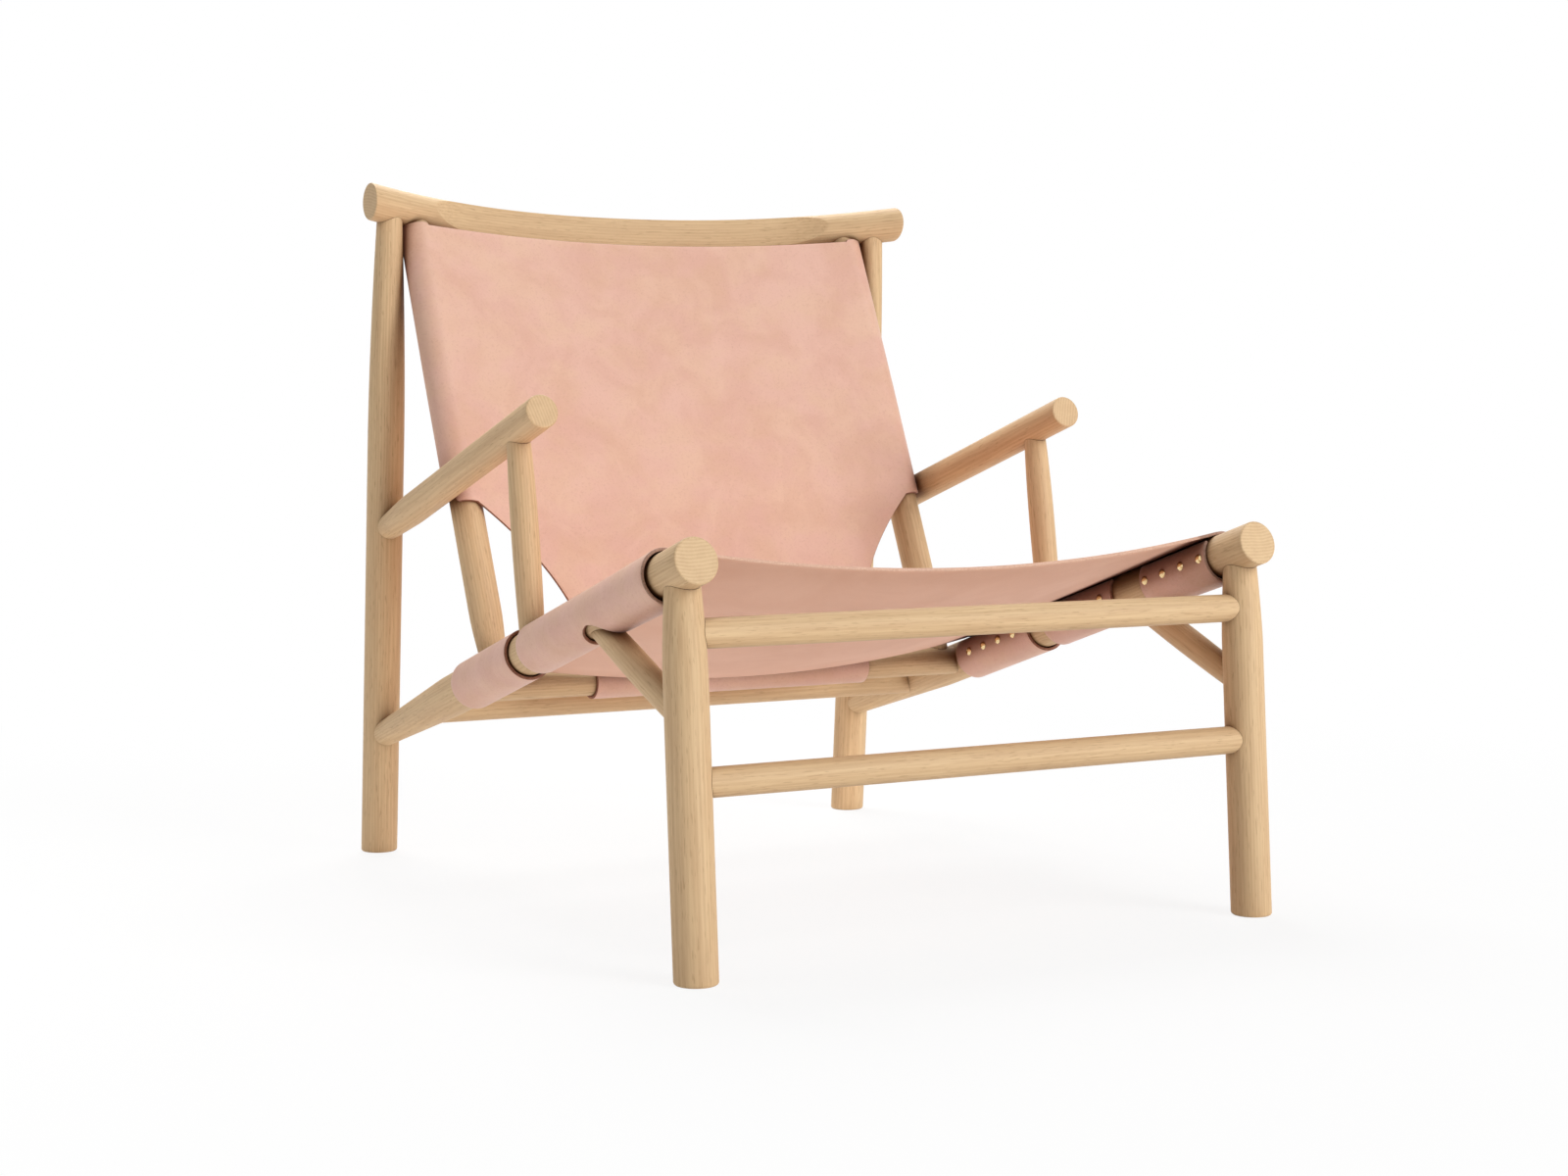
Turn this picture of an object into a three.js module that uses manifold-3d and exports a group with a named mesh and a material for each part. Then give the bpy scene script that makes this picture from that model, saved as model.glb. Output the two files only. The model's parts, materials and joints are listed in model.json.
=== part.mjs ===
// Leather sling lounge chair: a frame of turned oak members joined by round tenons and coped
// shoulders, with a seat sling and a back sling of thick hide held by domed brass nails.
// Millimetres, +Z up, the front of the chair faces -Y, the left side is -X.

import * as THREE from 'three';
import { mergeVertices } from 'three/addons/utils/BufferGeometryUtils.js';
import Module from 'manifold-3d';

const wasm = await Module();
wasm.setup();

// Overall layout
const TRACK = 667; // left leg axis to right leg axis
const WHEELBASE = 833; // front foot axis to rear foot axis, on the floor
const SIDE_SLOPE = 17.15; // degrees, the seat rails and the arms rise together to the front

// Fits
const FIT_GAP = 0.3; // glue gap at every shoulder and around every tenon
const TENON_SHARE = 0.6; // tenon radius as a share of the member's end radius
const TENON_DEPTH = 22; // how far a tenon enters its host
const TENON_HOST_SHARE = 1.1; // deepest tenon as a share of its host's half thickness
const TENON_ROOT = 14; // how far a tenon runs back into its own member
const MORTISE_MOUTH = 6; // how far ahead of the host's face a mortise is bored from
const MORTISE_RELIEF = 1; // spare depth past the end of a tenon
const EDGE_EASE = 1.5; // broken edge of a cut end
const FOOT_EASE = 3; // rounded edge under a foot

// Legs and posts; a taper's power is 1 for a straight cone
const LEG_R = 21.6;
const FRONT_LEG_TOP_R = 16.3;
const FRONT_LEG_TAPER_FROM = 290;
const FRONT_LEG_POWER = 1.4;
const REAR_POST_TOP_R = 14.2;
const REAR_POST_TAPER_FROM = 500;
const REAR_POST_POWER = 1.8;
const POST_LEAD = 3.2; // post axis ahead of the crest rail axis at their joint

// Side seat rails
const RAIL_R = 23.2;
const RAIL_END_R = 14.6;
const RAIL_TAPER = 236; // length of the taper into the rear post
const RAIL_POWER = 0.95;
const RAIL_FRONT_HEIGHT = 396.3; // centre of the front end above the floor
const RAIL_OVERHANG = 2.7; // centre of the front end ahead of the foot axis
const FRONT_LEG_STATION = 31; // leg top, along the rail from its front end

// Arms and arm posts
const ARM_R = 18.3;
const ARM_END_R = 13.2;
const ARM_TAPER = 96;
const ARM_POWER = 0.7;
const ARM_HEIGHT = 391.5; // where the arm axis meets the rear post
const ARM_POST_MID_R = 14.9;
const ARM_POST_FOOT_R = 12.4;
const ARM_POST_TOP_R = 11.3;
const ARM_POST_STATION = 387; // foot, along the rail from its front end
const ARM_POST_REACH = 418; // top, along the arm from the rear post axis
const ARM_OVERHANG = 66; // arm past the axis of its post

// Braces, stretchers and crossbars
const BRACE_R = 14.8;
const BRACE_END_R = 12.6;
const BRACE_STATION = 232; // brace axis on the rail axis
const BRACE_HEIGHT = 245; // brace axis on the leg axis
const SPINDLE_POWER = 0.6; // below 1, a brace or arm post is fuller towards its ends
const STRETCHER_R = 14.8;
const STRETCHER_END_R = 14.5;
const BAR_TAPER = 130; // from the end of a bar to its full radius
const BAR_POWER = 0.5;
const UPPER_STRETCHER_HEIGHT = 326;
const LOWER_STRETCHER_HEIGHT = 186.5;
const CROSSBAR_R = 16.8;
const CROSSBAR_STATION = 578; // carries the uprights and the tab of the back sling
const TIE_BAR_R = 16.8;
const TIE_BAR_STATION = 698;

// Back uprights
const UPRIGHT_R = 18.6;
const UPRIGHT_TOP_R = 17.4;
const UPRIGHT_TAPER_FROM = 358; // along the upright from the crossbar
const UPRIGHT_NECK_R = 13.5; // where it enters the crest rail
const UPRIGHT_NECK_FROM = 24; // below the crest rail axis, down to the top edge of the back
const UPRIGHT_NECK_TO = 16;
const UPRIGHT_FOOT_R = 13.6;
const UPRIGHT_FOOT_TAPER = 90;
const UPRIGHT_CLEARANCE = 0.9; // wrapped upright to post, bare upright to arm, upright foot to rail

// Crest rail, bowed backwards and dipping in the middle
const CREST_R = 21.5;
const CREST_OVERHANG = 29; // past the post axis, each end
const CREST_END_HEIGHT = 779.8;
const CREST_END_Y = 763; // behind the front foot axis
const CREST_BOW = 83;
const CREST_DIP = 22;
const CREST_BOW_POWER = 2.2;
const FACET_DEPTH = 11.5; // flat worked on the front between the uprights
const FACET_INSET = 84; // full depth starts this far inside the upright axis
const FACET_RUNOUT = 60;
const FACET_TILT = 20; // degrees, the flat looks slightly upwards
const FACET_LEAST = 5; // degrees of the section that the flat still takes past its run-out

// Seat hide
const HIDE = 3.4; // thickness, also of the back
const HIDE_EASE = 0.6; // between hide and wood
const SEAT_LEG_GAP = 1.7; // front edge of the seat to the front leg
const SEAT_BAR_GAP = 3; // rear edge of the seat to the tab on the crossbar
const SEAT_SAG_FRONT = 29;
const SEAT_SAG_EXTRA = 12; // deeper again between the front and rear edges
const SEAT_SAG_REAR = 33;
const FLAP_END = 40; // degrees above level where the flap stops on the inner face
const BRACE_SLOT_END = 60; // degrees past the underside, to the outer face
const SLOT_EASE = 2.4; // slot edge to the member passing through
const SLOT_FLAT = 0.3; // share of a slot's width left flat at its half-round end

// Back hide
const BACK_TOP_GAP = 24; // top edge of the back below the crest rail axis, along the upright
const BACK_TOP_DROP = 3.6; // top edge lower again where the hide hangs free
const BACK_LOW_EDGE = 216; // lower edge of the wraps on the front, along the upright
const BACK_ARM_GAP = 3; // lower edge of the wraps above the arm, on the outer face
const BACK_STEP_FROM = 135; // degrees round the upright, from the front edge to the one above the arm
const BACK_STEP_TO = 160;
const BACK_SAG = 32; // at the top edge, fading out at the tab
const BACK_SAG_POWER = 0.8;
const BACK_FLAP_END = 315; // degrees round the upright where the flap stops, inner rear
const BACK_HANG_INSET = 6; // where the hide hangs free, inside the upright axis
const TAB_HALF = 181; // half width of the tab on the crossbar
const TAB_CURVE_POWER = 2.05;
const TAB_WRAP = 235; // degrees round the crossbar

// Nails
const NAIL_HEAD_R = 5;
const NAIL_HEAD_H = 2.8;
const NAIL_SHOULDER = 0.6; // share of the head's radius where its dome changes slope
const NAIL_SHANK_R = 1.1;
const NAIL_LENGTH = 13;
const NAIL_GAP = 0.2; // head to hide
const NAIL_LIP = 1.5; // how far outside the hide a nail's bore starts
const NAIL_MARGIN = 15; // first nail from the edge of its row, on the back
const NAIL_PITCH = 32.2; // along the rails
const NAILS_PER_TAB = 4;
const BACK_NAIL_ANGLE = 293; // degrees round the upright
const BACK_NAILS = 6;
const TAB_NAIL_ANGLE = 218; // degrees round the crossbar
const TAB_NAILS = 3;

// Facets
const ROUND = 20; // sides of a thick member
const SLIM = 14; // sides of a slim member
const PEG = 10; // sides of a tenon and its mortise
const PIN = 6; // sides of a nail and its bore
const EASE_STEPS = 2;
const SHORT_STEPS = 3;
const LONG_STEPS = 5;
const SPINDLE_STEPS = 6;
const CREST_STEPS = 6;
const CREST_ARC_STEPS = 16;
const CREST_FLAT_STEPS = 4;
const FLAP_STEPS = 9;
const OVER_STEPS = 6;
const SEAT_STEPS = 6;
const BACK_TURN_STEPS = 13;
const BACK_STEPS = 5;
const BACK_ROWS = 4;
const TAB_ROWS = 6;
const TAB_TURN_STEPS = 10;
const HANG_PASSES = 4; // refinements of the angle where a hide leaves its bar

const OAK = { color: '#d9b684', roughness: 0.55, metalness: 0 };
const HIDE_LOOK = { color: '#e6b8a0', roughness: 0.6, metalness: 0 };
const BRASS = { color: '#c9973f', roughness: 0.25, metalness: 1 };

const V = (x, y, z) => new THREE.Vector3(x, y, z);
const rad = THREE.MathUtils.degToRad;
const mix = THREE.MathUtils.lerp;
const smooth = (t) => t * t * (3 - 2 * t);
const clamp01 = (t) => Math.min(1, Math.max(0, t));
const spread = (a, b, n) => Array.from({ length: n + 1 }, (_, i) => mix(a, b, i / n));

// Solids

function geometryOf(points, faces) {
  const geometry = new THREE.BufferGeometry();
  const flat = points.flatMap((p) => [p.x, p.y, p.z]);
  geometry.setAttribute('position', new THREE.Float32BufferAttribute(flat, 3));
  geometry.setIndex(faces.flat());
  return geometry;
}

function solidOf(geometry) {
  const bare = geometry.clone();
  bare.deleteAttribute('normal');
  bare.deleteAttribute('uv');
  const merged = mergeVertices(bare);
  return new wasm.Manifold(new wasm.Mesh({
    numProp: 3,
    vertProperties: new Float32Array(merged.attributes.position.array),
    triVerts: new Uint32Array(merged.index.array),
  }));
}

function geometryFrom(solid) {
  const mesh = solid.getMesh();
  const geometry = new THREE.BufferGeometry();
  geometry.setAttribute('position', new THREE.Float32BufferAttribute(mesh.vertProperties, 3));
  geometry.setIndex(Array.from(mesh.triVerts));
  return geometry;
}

// Closed skin through rings of equal point count, each turning right-handed about the way it goes.
function loft(rings) {
  const n = rings[0].length;
  const points = rings.flat();
  const faces = [];
  for (let i = 0; i + 1 < rings.length; i += 1) {
    for (let j = 0; j < n; j += 1) {
      const k = (j + 1) % n;
      const a = i * n + j;
      const b = i * n + k;
      faces.push([a, b, b + n], [a, b + n, a + n]);
    }
  }
  const last = (rings.length - 1) * n;
  for (let j = 1; j + 1 < n; j += 1) {
    faces.push([0, j + 1, j], [last, last + j, last + j + 1]);
  }
  return geometryOf(points, faces);
}

// A turned piece standing on its own +Z axis; the profile lists [height, radius].
function turned(profile, sides) {
  const outline = profile.map(([z, r]) => new THREE.Vector2(r, z));
  const low = new THREE.Vector2(0, outline[0].y);
  const high = new THREE.Vector2(0, outline.at(-1).y);
  return new THREE.LatheGeometry([low, ...outline, high], sides, Math.PI / sides).rotateX(Math.PI / 2);
}

// Moves a piece from its own +Z axis to the axis from p towards q.
function placed(geometry, p, q) {
  const turn = new THREE.Quaternion().setFromUnitVectors(V(0, 0, 1), q.clone().sub(p).normalize());
  return geometry.clone().applyQuaternion(turn).translate(p.x, p.y, p.z);
}

function rod(p, q, radius, sides) {
  const size = p.distanceTo(q);
  const upright = new THREE.CylinderGeometry(radius, radius, size, sides).rotateX(Math.PI / 2);
  return solidOf(placed(upright.translate(0, 0, size / 2), p, q));
}

function mirrored(geometry) {
  const copy = geometry.clone().applyMatrix4(new THREE.Matrix4().makeScale(-1, 1, 1));
  const index = copy.index.array;
  for (let i = 0; i < index.length; i += 3) {
    const keep = index[i];
    index[i] = index[i + 1];
    index[i + 1] = keep;
  }
  return copy;
}

const opposite = (solid) => solidOf(mirrored(geometryFrom(solid)));
const flipped = (p) => V(-p.x, p.y, p.z);

// A member: the two ends of its axis and two solids, true and grown by the fit gap.
function member(p, q, build) {
  return { p, q, solid: solidOf(build(0)), grown: solidOf(build(FIT_GAP)) };
}

function turnedMember(p, q, profile, sides) {
  return member(p, q, (extra) => placed(
    turned(profile.map(([z, r]) => [z, r + extra]), sides), p, q));
}

// Seats the end of one member in another: coped shoulder, round tenon and blind mortise.
function seat(guest, host, joint, hostR, endR) {
  const far = joint.distanceTo(guest.p) > joint.distanceTo(guest.q) ? guest.p : guest.q;
  const way = joint.clone().sub(far).normalize();
  const hostWay = host.way ? host.way(joint) : host.q.clone().sub(host.p).normalize();
  const skew = Math.sqrt(1 - way.dot(hostWay) ** 2);
  const face = hostR / skew;
  const tenonR = endR * TENON_SHARE;
  const slant = (tenonR * Math.abs(way.dot(hostWay))) / skew;
  const end = Math.min(TENON_DEPTH, face * TENON_HOST_SHARE) - face;
  const at = (d) => joint.clone().addScaledVector(way, d);
  const tenon = rod(at(-face - slant - TENON_ROOT), at(end), tenonR, PEG);
  const mouth = at(-face - slant - MORTISE_MOUTH);
  const mortise = rod(mouth, at(end + MORTISE_RELIEF), tenonR + FIT_GAP, PEG);
  guest.solid = guest.solid.subtract(host.grown).add(tenon);
  host.solid = host.solid.subtract(mortise);
}

// Where two axes in the same side plane cross.
function crossing(p, q, r, s) {
  const a = q.clone().sub(p);
  const b = s.clone().sub(r);
  const d = a.y * b.z - a.z * b.y;
  const t = ((r.y - p.y) * b.z - (r.z - p.z) * b.y) / d;
  return p.clone().addScaledVector(a, t);
}

// Frame lines of the left side

const sideX = -TRACK / 2;
const railWay = V(0, Math.cos(rad(SIDE_SLOPE)), -Math.sin(rad(SIDE_SLOPE)));
const railUp = V(0, Math.sin(rad(SIDE_SLOPE)), Math.cos(rad(SIDE_SLOPE)));
const railFront = V(sideX, -RAIL_OVERHANG, RAIL_FRONT_HEIGHT);
const onRail = (s) => railFront.clone().addScaledVector(railWay, s);

const crestHalf = TRACK / 2 + CREST_OVERHANG;

function crestAxis(x) {
  const t = 1 - Math.abs(x / crestHalf) ** CREST_BOW_POWER;
  return V(x, CREST_END_Y + CREST_BOW * t, CREST_END_HEIGHT - CREST_DIP * t);
}

function crestWay(x) {
  const steep = Math.abs(x / crestHalf) ** (CREST_BOW_POWER - 1);
  const slope = (-CREST_BOW_POWER * Math.sign(x) * steep) / crestHalf;
  return V(1, CREST_BOW * slope, -CREST_DIP * slope).normalize();
}

const postFoot = V(sideX, WHEELBASE, 0);
const postTop = crestAxis(sideX).sub(V(0, POST_LEAD, 0));
const legFoot = V(sideX, 0, 0);
const legTop = onRail(FRONT_LEG_STATION);
const onPost = (z) => postFoot.clone().lerp(postTop, z / postTop.z);
const onLeg = (z) => legFoot.clone().lerp(legTop, z / legTop.z);
const railRear = crossing(railFront, onRail(1), postFoot, postTop);
const railLength = railRear.distanceTo(railFront);

const armRear = onPost(ARM_HEIGHT);
const onArm = (d) => armRear.clone().addScaledVector(railWay, -d);
const armPostFoot = onRail(ARM_POST_STATION);
const armPostTop = onArm(ARM_POST_REACH);
const armLength = ARM_POST_REACH + ARM_OVERHANG;
const braceFoot = onLeg(BRACE_HEIGHT);
const braceTop = onRail(BRACE_STATION);

const wrap = HIDE_EASE + HIDE;
// The uprights stand just inside whichever neighbour reaches furthest in: post, arm or rail.
const uprightX = sideX + UPRIGHT_CLEARANCE + Math.max(
  REAR_POST_TOP_R + UPRIGHT_TOP_R + wrap, ARM_R + UPRIGHT_R, RAIL_R + UPRIGHT_FOOT_R);
const barCentre = onRail(CROSSBAR_STATION).setX(0);
const uprightFoot = V(uprightX, barCentre.y, barCentre.z);
const uprightTop = crestAxis(uprightX);
const uprightLength = uprightFoot.distanceTo(uprightTop);

// Members of the left side

function tapered(from, to, r0, r1, power) {
  return (z) => mix(r0, r1, clamp01((z - from) / (to - from)) ** power);
}

// Legs and posts keep level sections, so that the feet are cut flat on the floor.
function standing(foot, top, radiusAt, cuts) {
  const ease = spread(0, Math.PI / 2, EASE_STEPS).map((w) => [
    FOOT_EASE * (1 - Math.cos(w)), LEG_R - FOOT_EASE * (1 - Math.sin(w))]);
  const levels = [...ease, ...cuts.map((z) => [z, radiusAt(z)])];
  const lean = top.clone().sub(foot).divideScalar(top.z);
  const slide = new THREE.Matrix4().makeShear(0, 0, 0, 0, lean.x, lean.y).setPosition(foot);
  return member(foot, top, (extra) => turned(
    levels.map(([z, r]) => [z, r + extra]), ROUND).applyMatrix4(slide));
}

const postR = tapered(REAR_POST_TAPER_FROM, postTop.z, LEG_R, REAR_POST_TOP_R, REAR_POST_POWER);
const rearPost = standing(postFoot, postTop, postR, spread(REAR_POST_TAPER_FROM, postTop.z, LONG_STEPS));
const legR = tapered(FRONT_LEG_TAPER_FROM, legTop.z, LEG_R, FRONT_LEG_TOP_R, FRONT_LEG_POWER);
const frontLeg = standing(legFoot, legTop, legR, spread(FRONT_LEG_TAPER_FROM, legTop.z, LONG_STEPS));

const railTaperFrom = railLength - RAIL_TAPER;
const railR = tapered(railTaperFrom, railLength, RAIL_R, RAIL_END_R, RAIL_POWER);
const sideRail = turnedMember(railFront, railRear, [
  [0, RAIL_R - EDGE_EASE], [EDGE_EASE, RAIL_R],
  ...spread(railTaperFrom, railLength, SHORT_STEPS).map((s) => [s, railR(s)]),
], ROUND);

const armR = tapered(0, ARM_TAPER, ARM_END_R, ARM_R, ARM_POWER);
const arm = turnedMember(armRear, onArm(armLength), [
  ...spread(0, ARM_TAPER, SHORT_STEPS).map((d) => [d, armR(d)]),
  [armLength - EDGE_EASE, ARM_R], [armLength, ARM_R - EDGE_EASE],
], ROUND);

// A spindle swells from one end radius to the middle radius and back to the other.
const swollen = (r0, rMid, r1, t) => mix(
  mix(r0, r1, t), rMid, clamp01(Math.sin(Math.PI * t)) ** SPINDLE_POWER);

function spindle(p, q, r0, rMid, r1) {
  const size = p.distanceTo(q);
  const profile = spread(0, 1, SPINDLE_STEPS).map((t) => [t * size, swollen(r0, rMid, r1, t)]);
  return turnedMember(p, q, profile, SLIM);
}

const armPost = spindle(armPostFoot, armPostTop, ARM_POST_FOOT_R, ARM_POST_MID_R, ARM_POST_TOP_R);
const brace = spindle(braceFoot, braceTop, BRACE_END_R, BRACE_R, BRACE_END_R);

const uprightR = tapered(UPRIGHT_TAPER_FROM, uprightLength, UPRIGHT_R, UPRIGHT_TOP_R, 1);
const neckFrom = uprightLength - UPRIGHT_NECK_FROM;
const upright = turnedMember(uprightFoot, uprightTop, [
  ...spread(0, UPRIGHT_FOOT_TAPER, SHORT_STEPS).map((d) => [d,
    mix(UPRIGHT_FOOT_R, UPRIGHT_R, smooth(d / UPRIGHT_FOOT_TAPER))]),
  [UPRIGHT_TAPER_FROM, UPRIGHT_R], [neckFrom, uprightR(neckFrom)],
  [uprightLength - UPRIGHT_NECK_TO, UPRIGHT_NECK_R], [uprightLength, UPRIGHT_NECK_R],
], ROUND);

// Members that cross the chair

function bar(centre, r, endR) {
  const barR = tapered(0, BAR_TAPER, endR, r, BAR_POWER);
  const half = spread(0, BAR_TAPER, SHORT_STEPS).map((d) => [d, barR(d)]);
  const other = half.toReversed().map(([d, radius]) => [TRACK - d, radius]);
  const p = centre.clone().setX(sideX);
  const q = centre.clone().setX(-sideX);
  return turnedMember(p, q, [...half, ...other], SLIM);
}

const upperStretcher = bar(onLeg(UPPER_STRETCHER_HEIGHT), STRETCHER_R, STRETCHER_END_R);
const lowerStretcher = bar(onLeg(LOWER_STRETCHER_HEIGHT), STRETCHER_R, STRETCHER_END_R);
const crossbar = bar(barCentre, CROSSBAR_R, CROSSBAR_R);
const tieBar = bar(onRail(TIE_BAR_STATION), TIE_BAR_R, TIE_BAR_R);

const facetHalf = -uprightX - FACET_INSET;

// One upright slice of the crest rail: a round section with a chord cut from its front.
function crestSlice(x, r) {
  const way = crestWay(x);
  const flatWay = V(0, -Math.cos(rad(FACET_TILT)), Math.sin(rad(FACET_TILT)));
  const n = flatWay.addScaledVector(way, -flatWay.dot(way)).normalize();
  const b = way.clone().cross(n);
  const cut = 1 - clamp01((Math.abs(x) - facetHalf) / FACET_RUNOUT) ** 2;
  const half = Math.max(rad(FACET_LEAST), Math.acos(1 - (FACET_DEPTH * cut) / r));
  const arc = spread(half, 2 * Math.PI - half, CREST_ARC_STEPS)
    .map((w) => [r * Math.cos(w), r * Math.sin(w)]);
  const chord = spread(-1, 1, CREST_FLAT_STEPS).slice(1, -1)
    .map((t) => [r * Math.cos(half), t * r * Math.sin(half)]);
  const axis = crestAxis(x);
  return [...arc, ...chord].map(([c, s]) => {
    const p = axis.clone().addScaledVector(n, c).addScaledVector(b, s);
    return p.addScaledVector(way, (x - p.x) / way.x);
  });
}

function crestStations() {
  const outer = facetHalf + FACET_RUNOUT;
  const half = [...spread(0, facetHalf, CREST_STEPS), ...spread(facetHalf, outer, LONG_STEPS).slice(1),
    ...spread(outer, crestHalf - EDGE_EASE, SHORT_STEPS).slice(1)];
  return [...half.slice(1).reverse().map((x) => -x), ...half];
}

const crestRail = member(crestAxis(-crestHalf), crestAxis(crestHalf), (extra) => loft([
  crestSlice(-crestHalf, CREST_R - EDGE_EASE + extra),
  ...crestStations().map((x) => crestSlice(x, CREST_R + extra)),
  crestSlice(crestHalf, CREST_R - EDGE_EASE + extra),
]));
crestRail.way = (joint) => crestWay(joint.x);

// Joints; the right side repeats the left one, and only what crosses the chair meets both.

seat(sideRail, rearPost, railRear, postR(railRear.z), railR(railLength));
seat(frontLeg, sideRail, legTop, RAIL_R, FRONT_LEG_TOP_R);
seat(arm, rearPost, armRear, postR(armRear.z), ARM_END_R);
seat(armPost, sideRail, armPostFoot, RAIL_R, ARM_POST_FOOT_R);
seat(armPost, arm, armPostTop, ARM_R, ARM_POST_TOP_R);
seat(brace, frontLeg, braceFoot, legR(BRACE_HEIGHT), BRACE_END_R);
seat(brace, sideRail, braceTop, RAIL_R, BRACE_END_R);

const sideOf = (m) => ({
  ...m,
  p: flipped(m.p),
  q: flipped(m.q),
  solid: opposite(m.solid),
  grown: opposite(m.grown),
});

function seatBar(piece, left, joint, hostR, endR) {
  const right = sideOf(left);
  seat(piece, left, joint, hostR, endR);
  seat(piece, right, flipped(joint), hostR, endR);
}

seatBar(upperStretcher, frontLeg, upperStretcher.p, legR(UPPER_STRETCHER_HEIGHT), STRETCHER_END_R);
seatBar(lowerStretcher, frontLeg, lowerStretcher.p, legR(LOWER_STRETCHER_HEIGHT), STRETCHER_END_R);
seatBar(crossbar, sideRail, crossbar.p, RAIL_R, CROSSBAR_R);
seatBar(tieBar, sideRail, tieBar.p, railR(TIE_BAR_STATION), TIE_BAR_R);

function seatPair(left, host, joint, hostR, endR) {
  const right = sideOf(left);
  seat(left, host, joint, hostR, endR);
  seat(right, host, flipped(joint), hostR, endR);
}

seatPair(rearPost, crestRail, postTop, CREST_R, REAR_POST_TOP_R);
seatPair(upright, crestRail, uprightTop, CREST_R, UPRIGHT_NECK_R);
seatPair(upright, crossbar, uprightFoot, CROSSBAR_R, UPRIGHT_FOOT_R);

// Sheets of hide

// Thickens a patch of cells to both sides; each vertex carries its place and its facing.
function thickened(vertices, cells, thickness) {
  const n = vertices.length;
  const shift = (v, d) => v.at.clone().addScaledVector(v.out, d);
  const points = [...vertices.map((v) => shift(v, thickness / 2)),
    ...vertices.map((v) => shift(v, -thickness / 2))];
  const faces = [];
  const edges = new Map();
  cells.forEach(([a, b, c, d]) => {
    faces.push([a, b, c], [a, c, d], [a + n, c + n, b + n], [a + n, d + n, c + n]);
    [[a, b], [b, c], [c, d], [d, a]].forEach(([i, j]) => {
      if (!edges.delete(`${j} ${i}`)) {
        edges.set(`${i} ${j}`, [i, j]);
      }
    });
  });
  edges.forEach(([i, j]) => faces.push([i, i + n, j + n], [i, j + n, j]));
  const used = [...new Set(faces.flat())].sort((i, j) => i - j);
  const rename = new Map(used.map((old, i) => [old, i]));
  return geometryOf(used.map((i) => points[i]), faces.map((f) => f.map((i) => rename.get(i))));
}

// A hammock line between two round bars: wrapped from its flap round the far side of the bar,
// then hanging as a shallow curve. Returns half of the line, from the flap to the middle.
function hammock(barR, barX, sag, angles, inset, steps) {
  const r = barR + HIDE_EASE + HIDE / 2;
  let lift = Math.PI / 2;
  for (let i = 0; i < HANG_PASSES; i += 1) {
    lift = Math.atan2(barX - r * Math.cos(lift), 2 * sag);
  }
  const line = [...angles.map(rad), lift].map((w) => ({
    across: -barX + r * Math.cos(w), height: r * Math.sin(w),
    outAcross: Math.cos(w), outHeight: Math.sin(w),
  }));
  const edge = -barX + r * Math.cos(lift);
  const floor = r * Math.sin(lift) - sag;
  spread(inset - barX, 0, steps).forEach((across) => {
    const slope = (2 * sag * across) / edge ** 2;
    const size = Math.hypot(1, slope);
    line.push({
      across, height: floor + sag * (across / edge) ** 2,
      outAcross: -slope / size, outHeight: 1 / size,
    });
  });
  return line;
}

function bothHalves(line) {
  const other = line.slice(0, -1).reverse().map((s) => ({
    ...s, across: -s.across, outAcross: -s.outAcross,
  }));
  return [...line, ...other];
}

// Where a member that crosses the rail axis lies along the rail, at a height over that axis.
function alongRail(station, way, height, radius) {
  const rise = way.dot(railUp);
  const centre = station + (height * way.dot(railWay)) / rise;
  const half = radius / Math.abs(rise);
  return { front: centre - half, rear: centre + half };
}

// Seat sling: hangs between the side rails, with slots for the braces and the arm posts.
const wrappedR = RAIL_R + wrap;
const legWay = legTop.clone().sub(legFoot).normalize();
const legBehind = alongRail(FRONT_LEG_STATION, legWay, -wrappedR, legR(legTop.z - wrappedR));
const braceWay = braceTop.clone().sub(braceFoot).normalize();
const braceAhead = alongRail(BRACE_STATION, braceWay, -wrappedR, BRACE_R);
const braceBehind = alongRail(BRACE_STATION, braceWay, -RAIL_R, BRACE_R);
const armPostWay = armPostTop.clone().sub(armPostFoot).normalize();
const armPostR = swollen(ARM_POST_FOOT_R, ARM_POST_MID_R, ARM_POST_TOP_R,
  wrappedR / armPostFoot.distanceTo(armPostTop));
const armPostThrough = alongRail(ARM_POST_STATION, armPostWay, RAIL_R, armPostR);

const seatFront = legBehind.rear + SEAT_LEG_GAP;
const seatRear = CROSSBAR_STATION - CROSSBAR_R - wrap - SEAT_BAR_GAP;
const braceSlot = { front: braceAhead.front - SLOT_EASE, rear: braceBehind.rear + SLOT_EASE };
const postSlot = { front: armPostThrough.front - SLOT_EASE, rear: armPostThrough.rear + SLOT_EASE };
const seatStations = [seatFront, braceSlot.front, braceSlot.rear, postSlot.front, postSlot.rear,
  seatRear];
const slotEnd = 270 - BRACE_SLOT_END;
const flapAngles = [360 + FLAP_END, 360 + FLAP_END / 2,
  ...spread(360, slotEnd, FLAP_STEPS), ...spread(slotEnd, 90, OVER_STEPS).slice(1)];

function seatSag(s) {
  const t = (s - seatFront) / (seatRear - seatFront);
  return mix(SEAT_SAG_FRONT, SEAT_SAG_REAR, t) + SEAT_SAG_EXTRA * Math.sin(Math.PI * t);
}

// How far the edge of the brace slot moves in towards its middle, for the half-round outer end.
function slotRounding(turn) {
  const half = (braceSlot.rear - braceSlot.front) / 2;
  const short = 1 - clamp01((Math.abs(rad(turn - slotEnd)) * wrappedR) / half);
  return half * (1 - Math.max(SLOT_FLAT, Math.sqrt(1 - short ** 2)));
}

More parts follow.
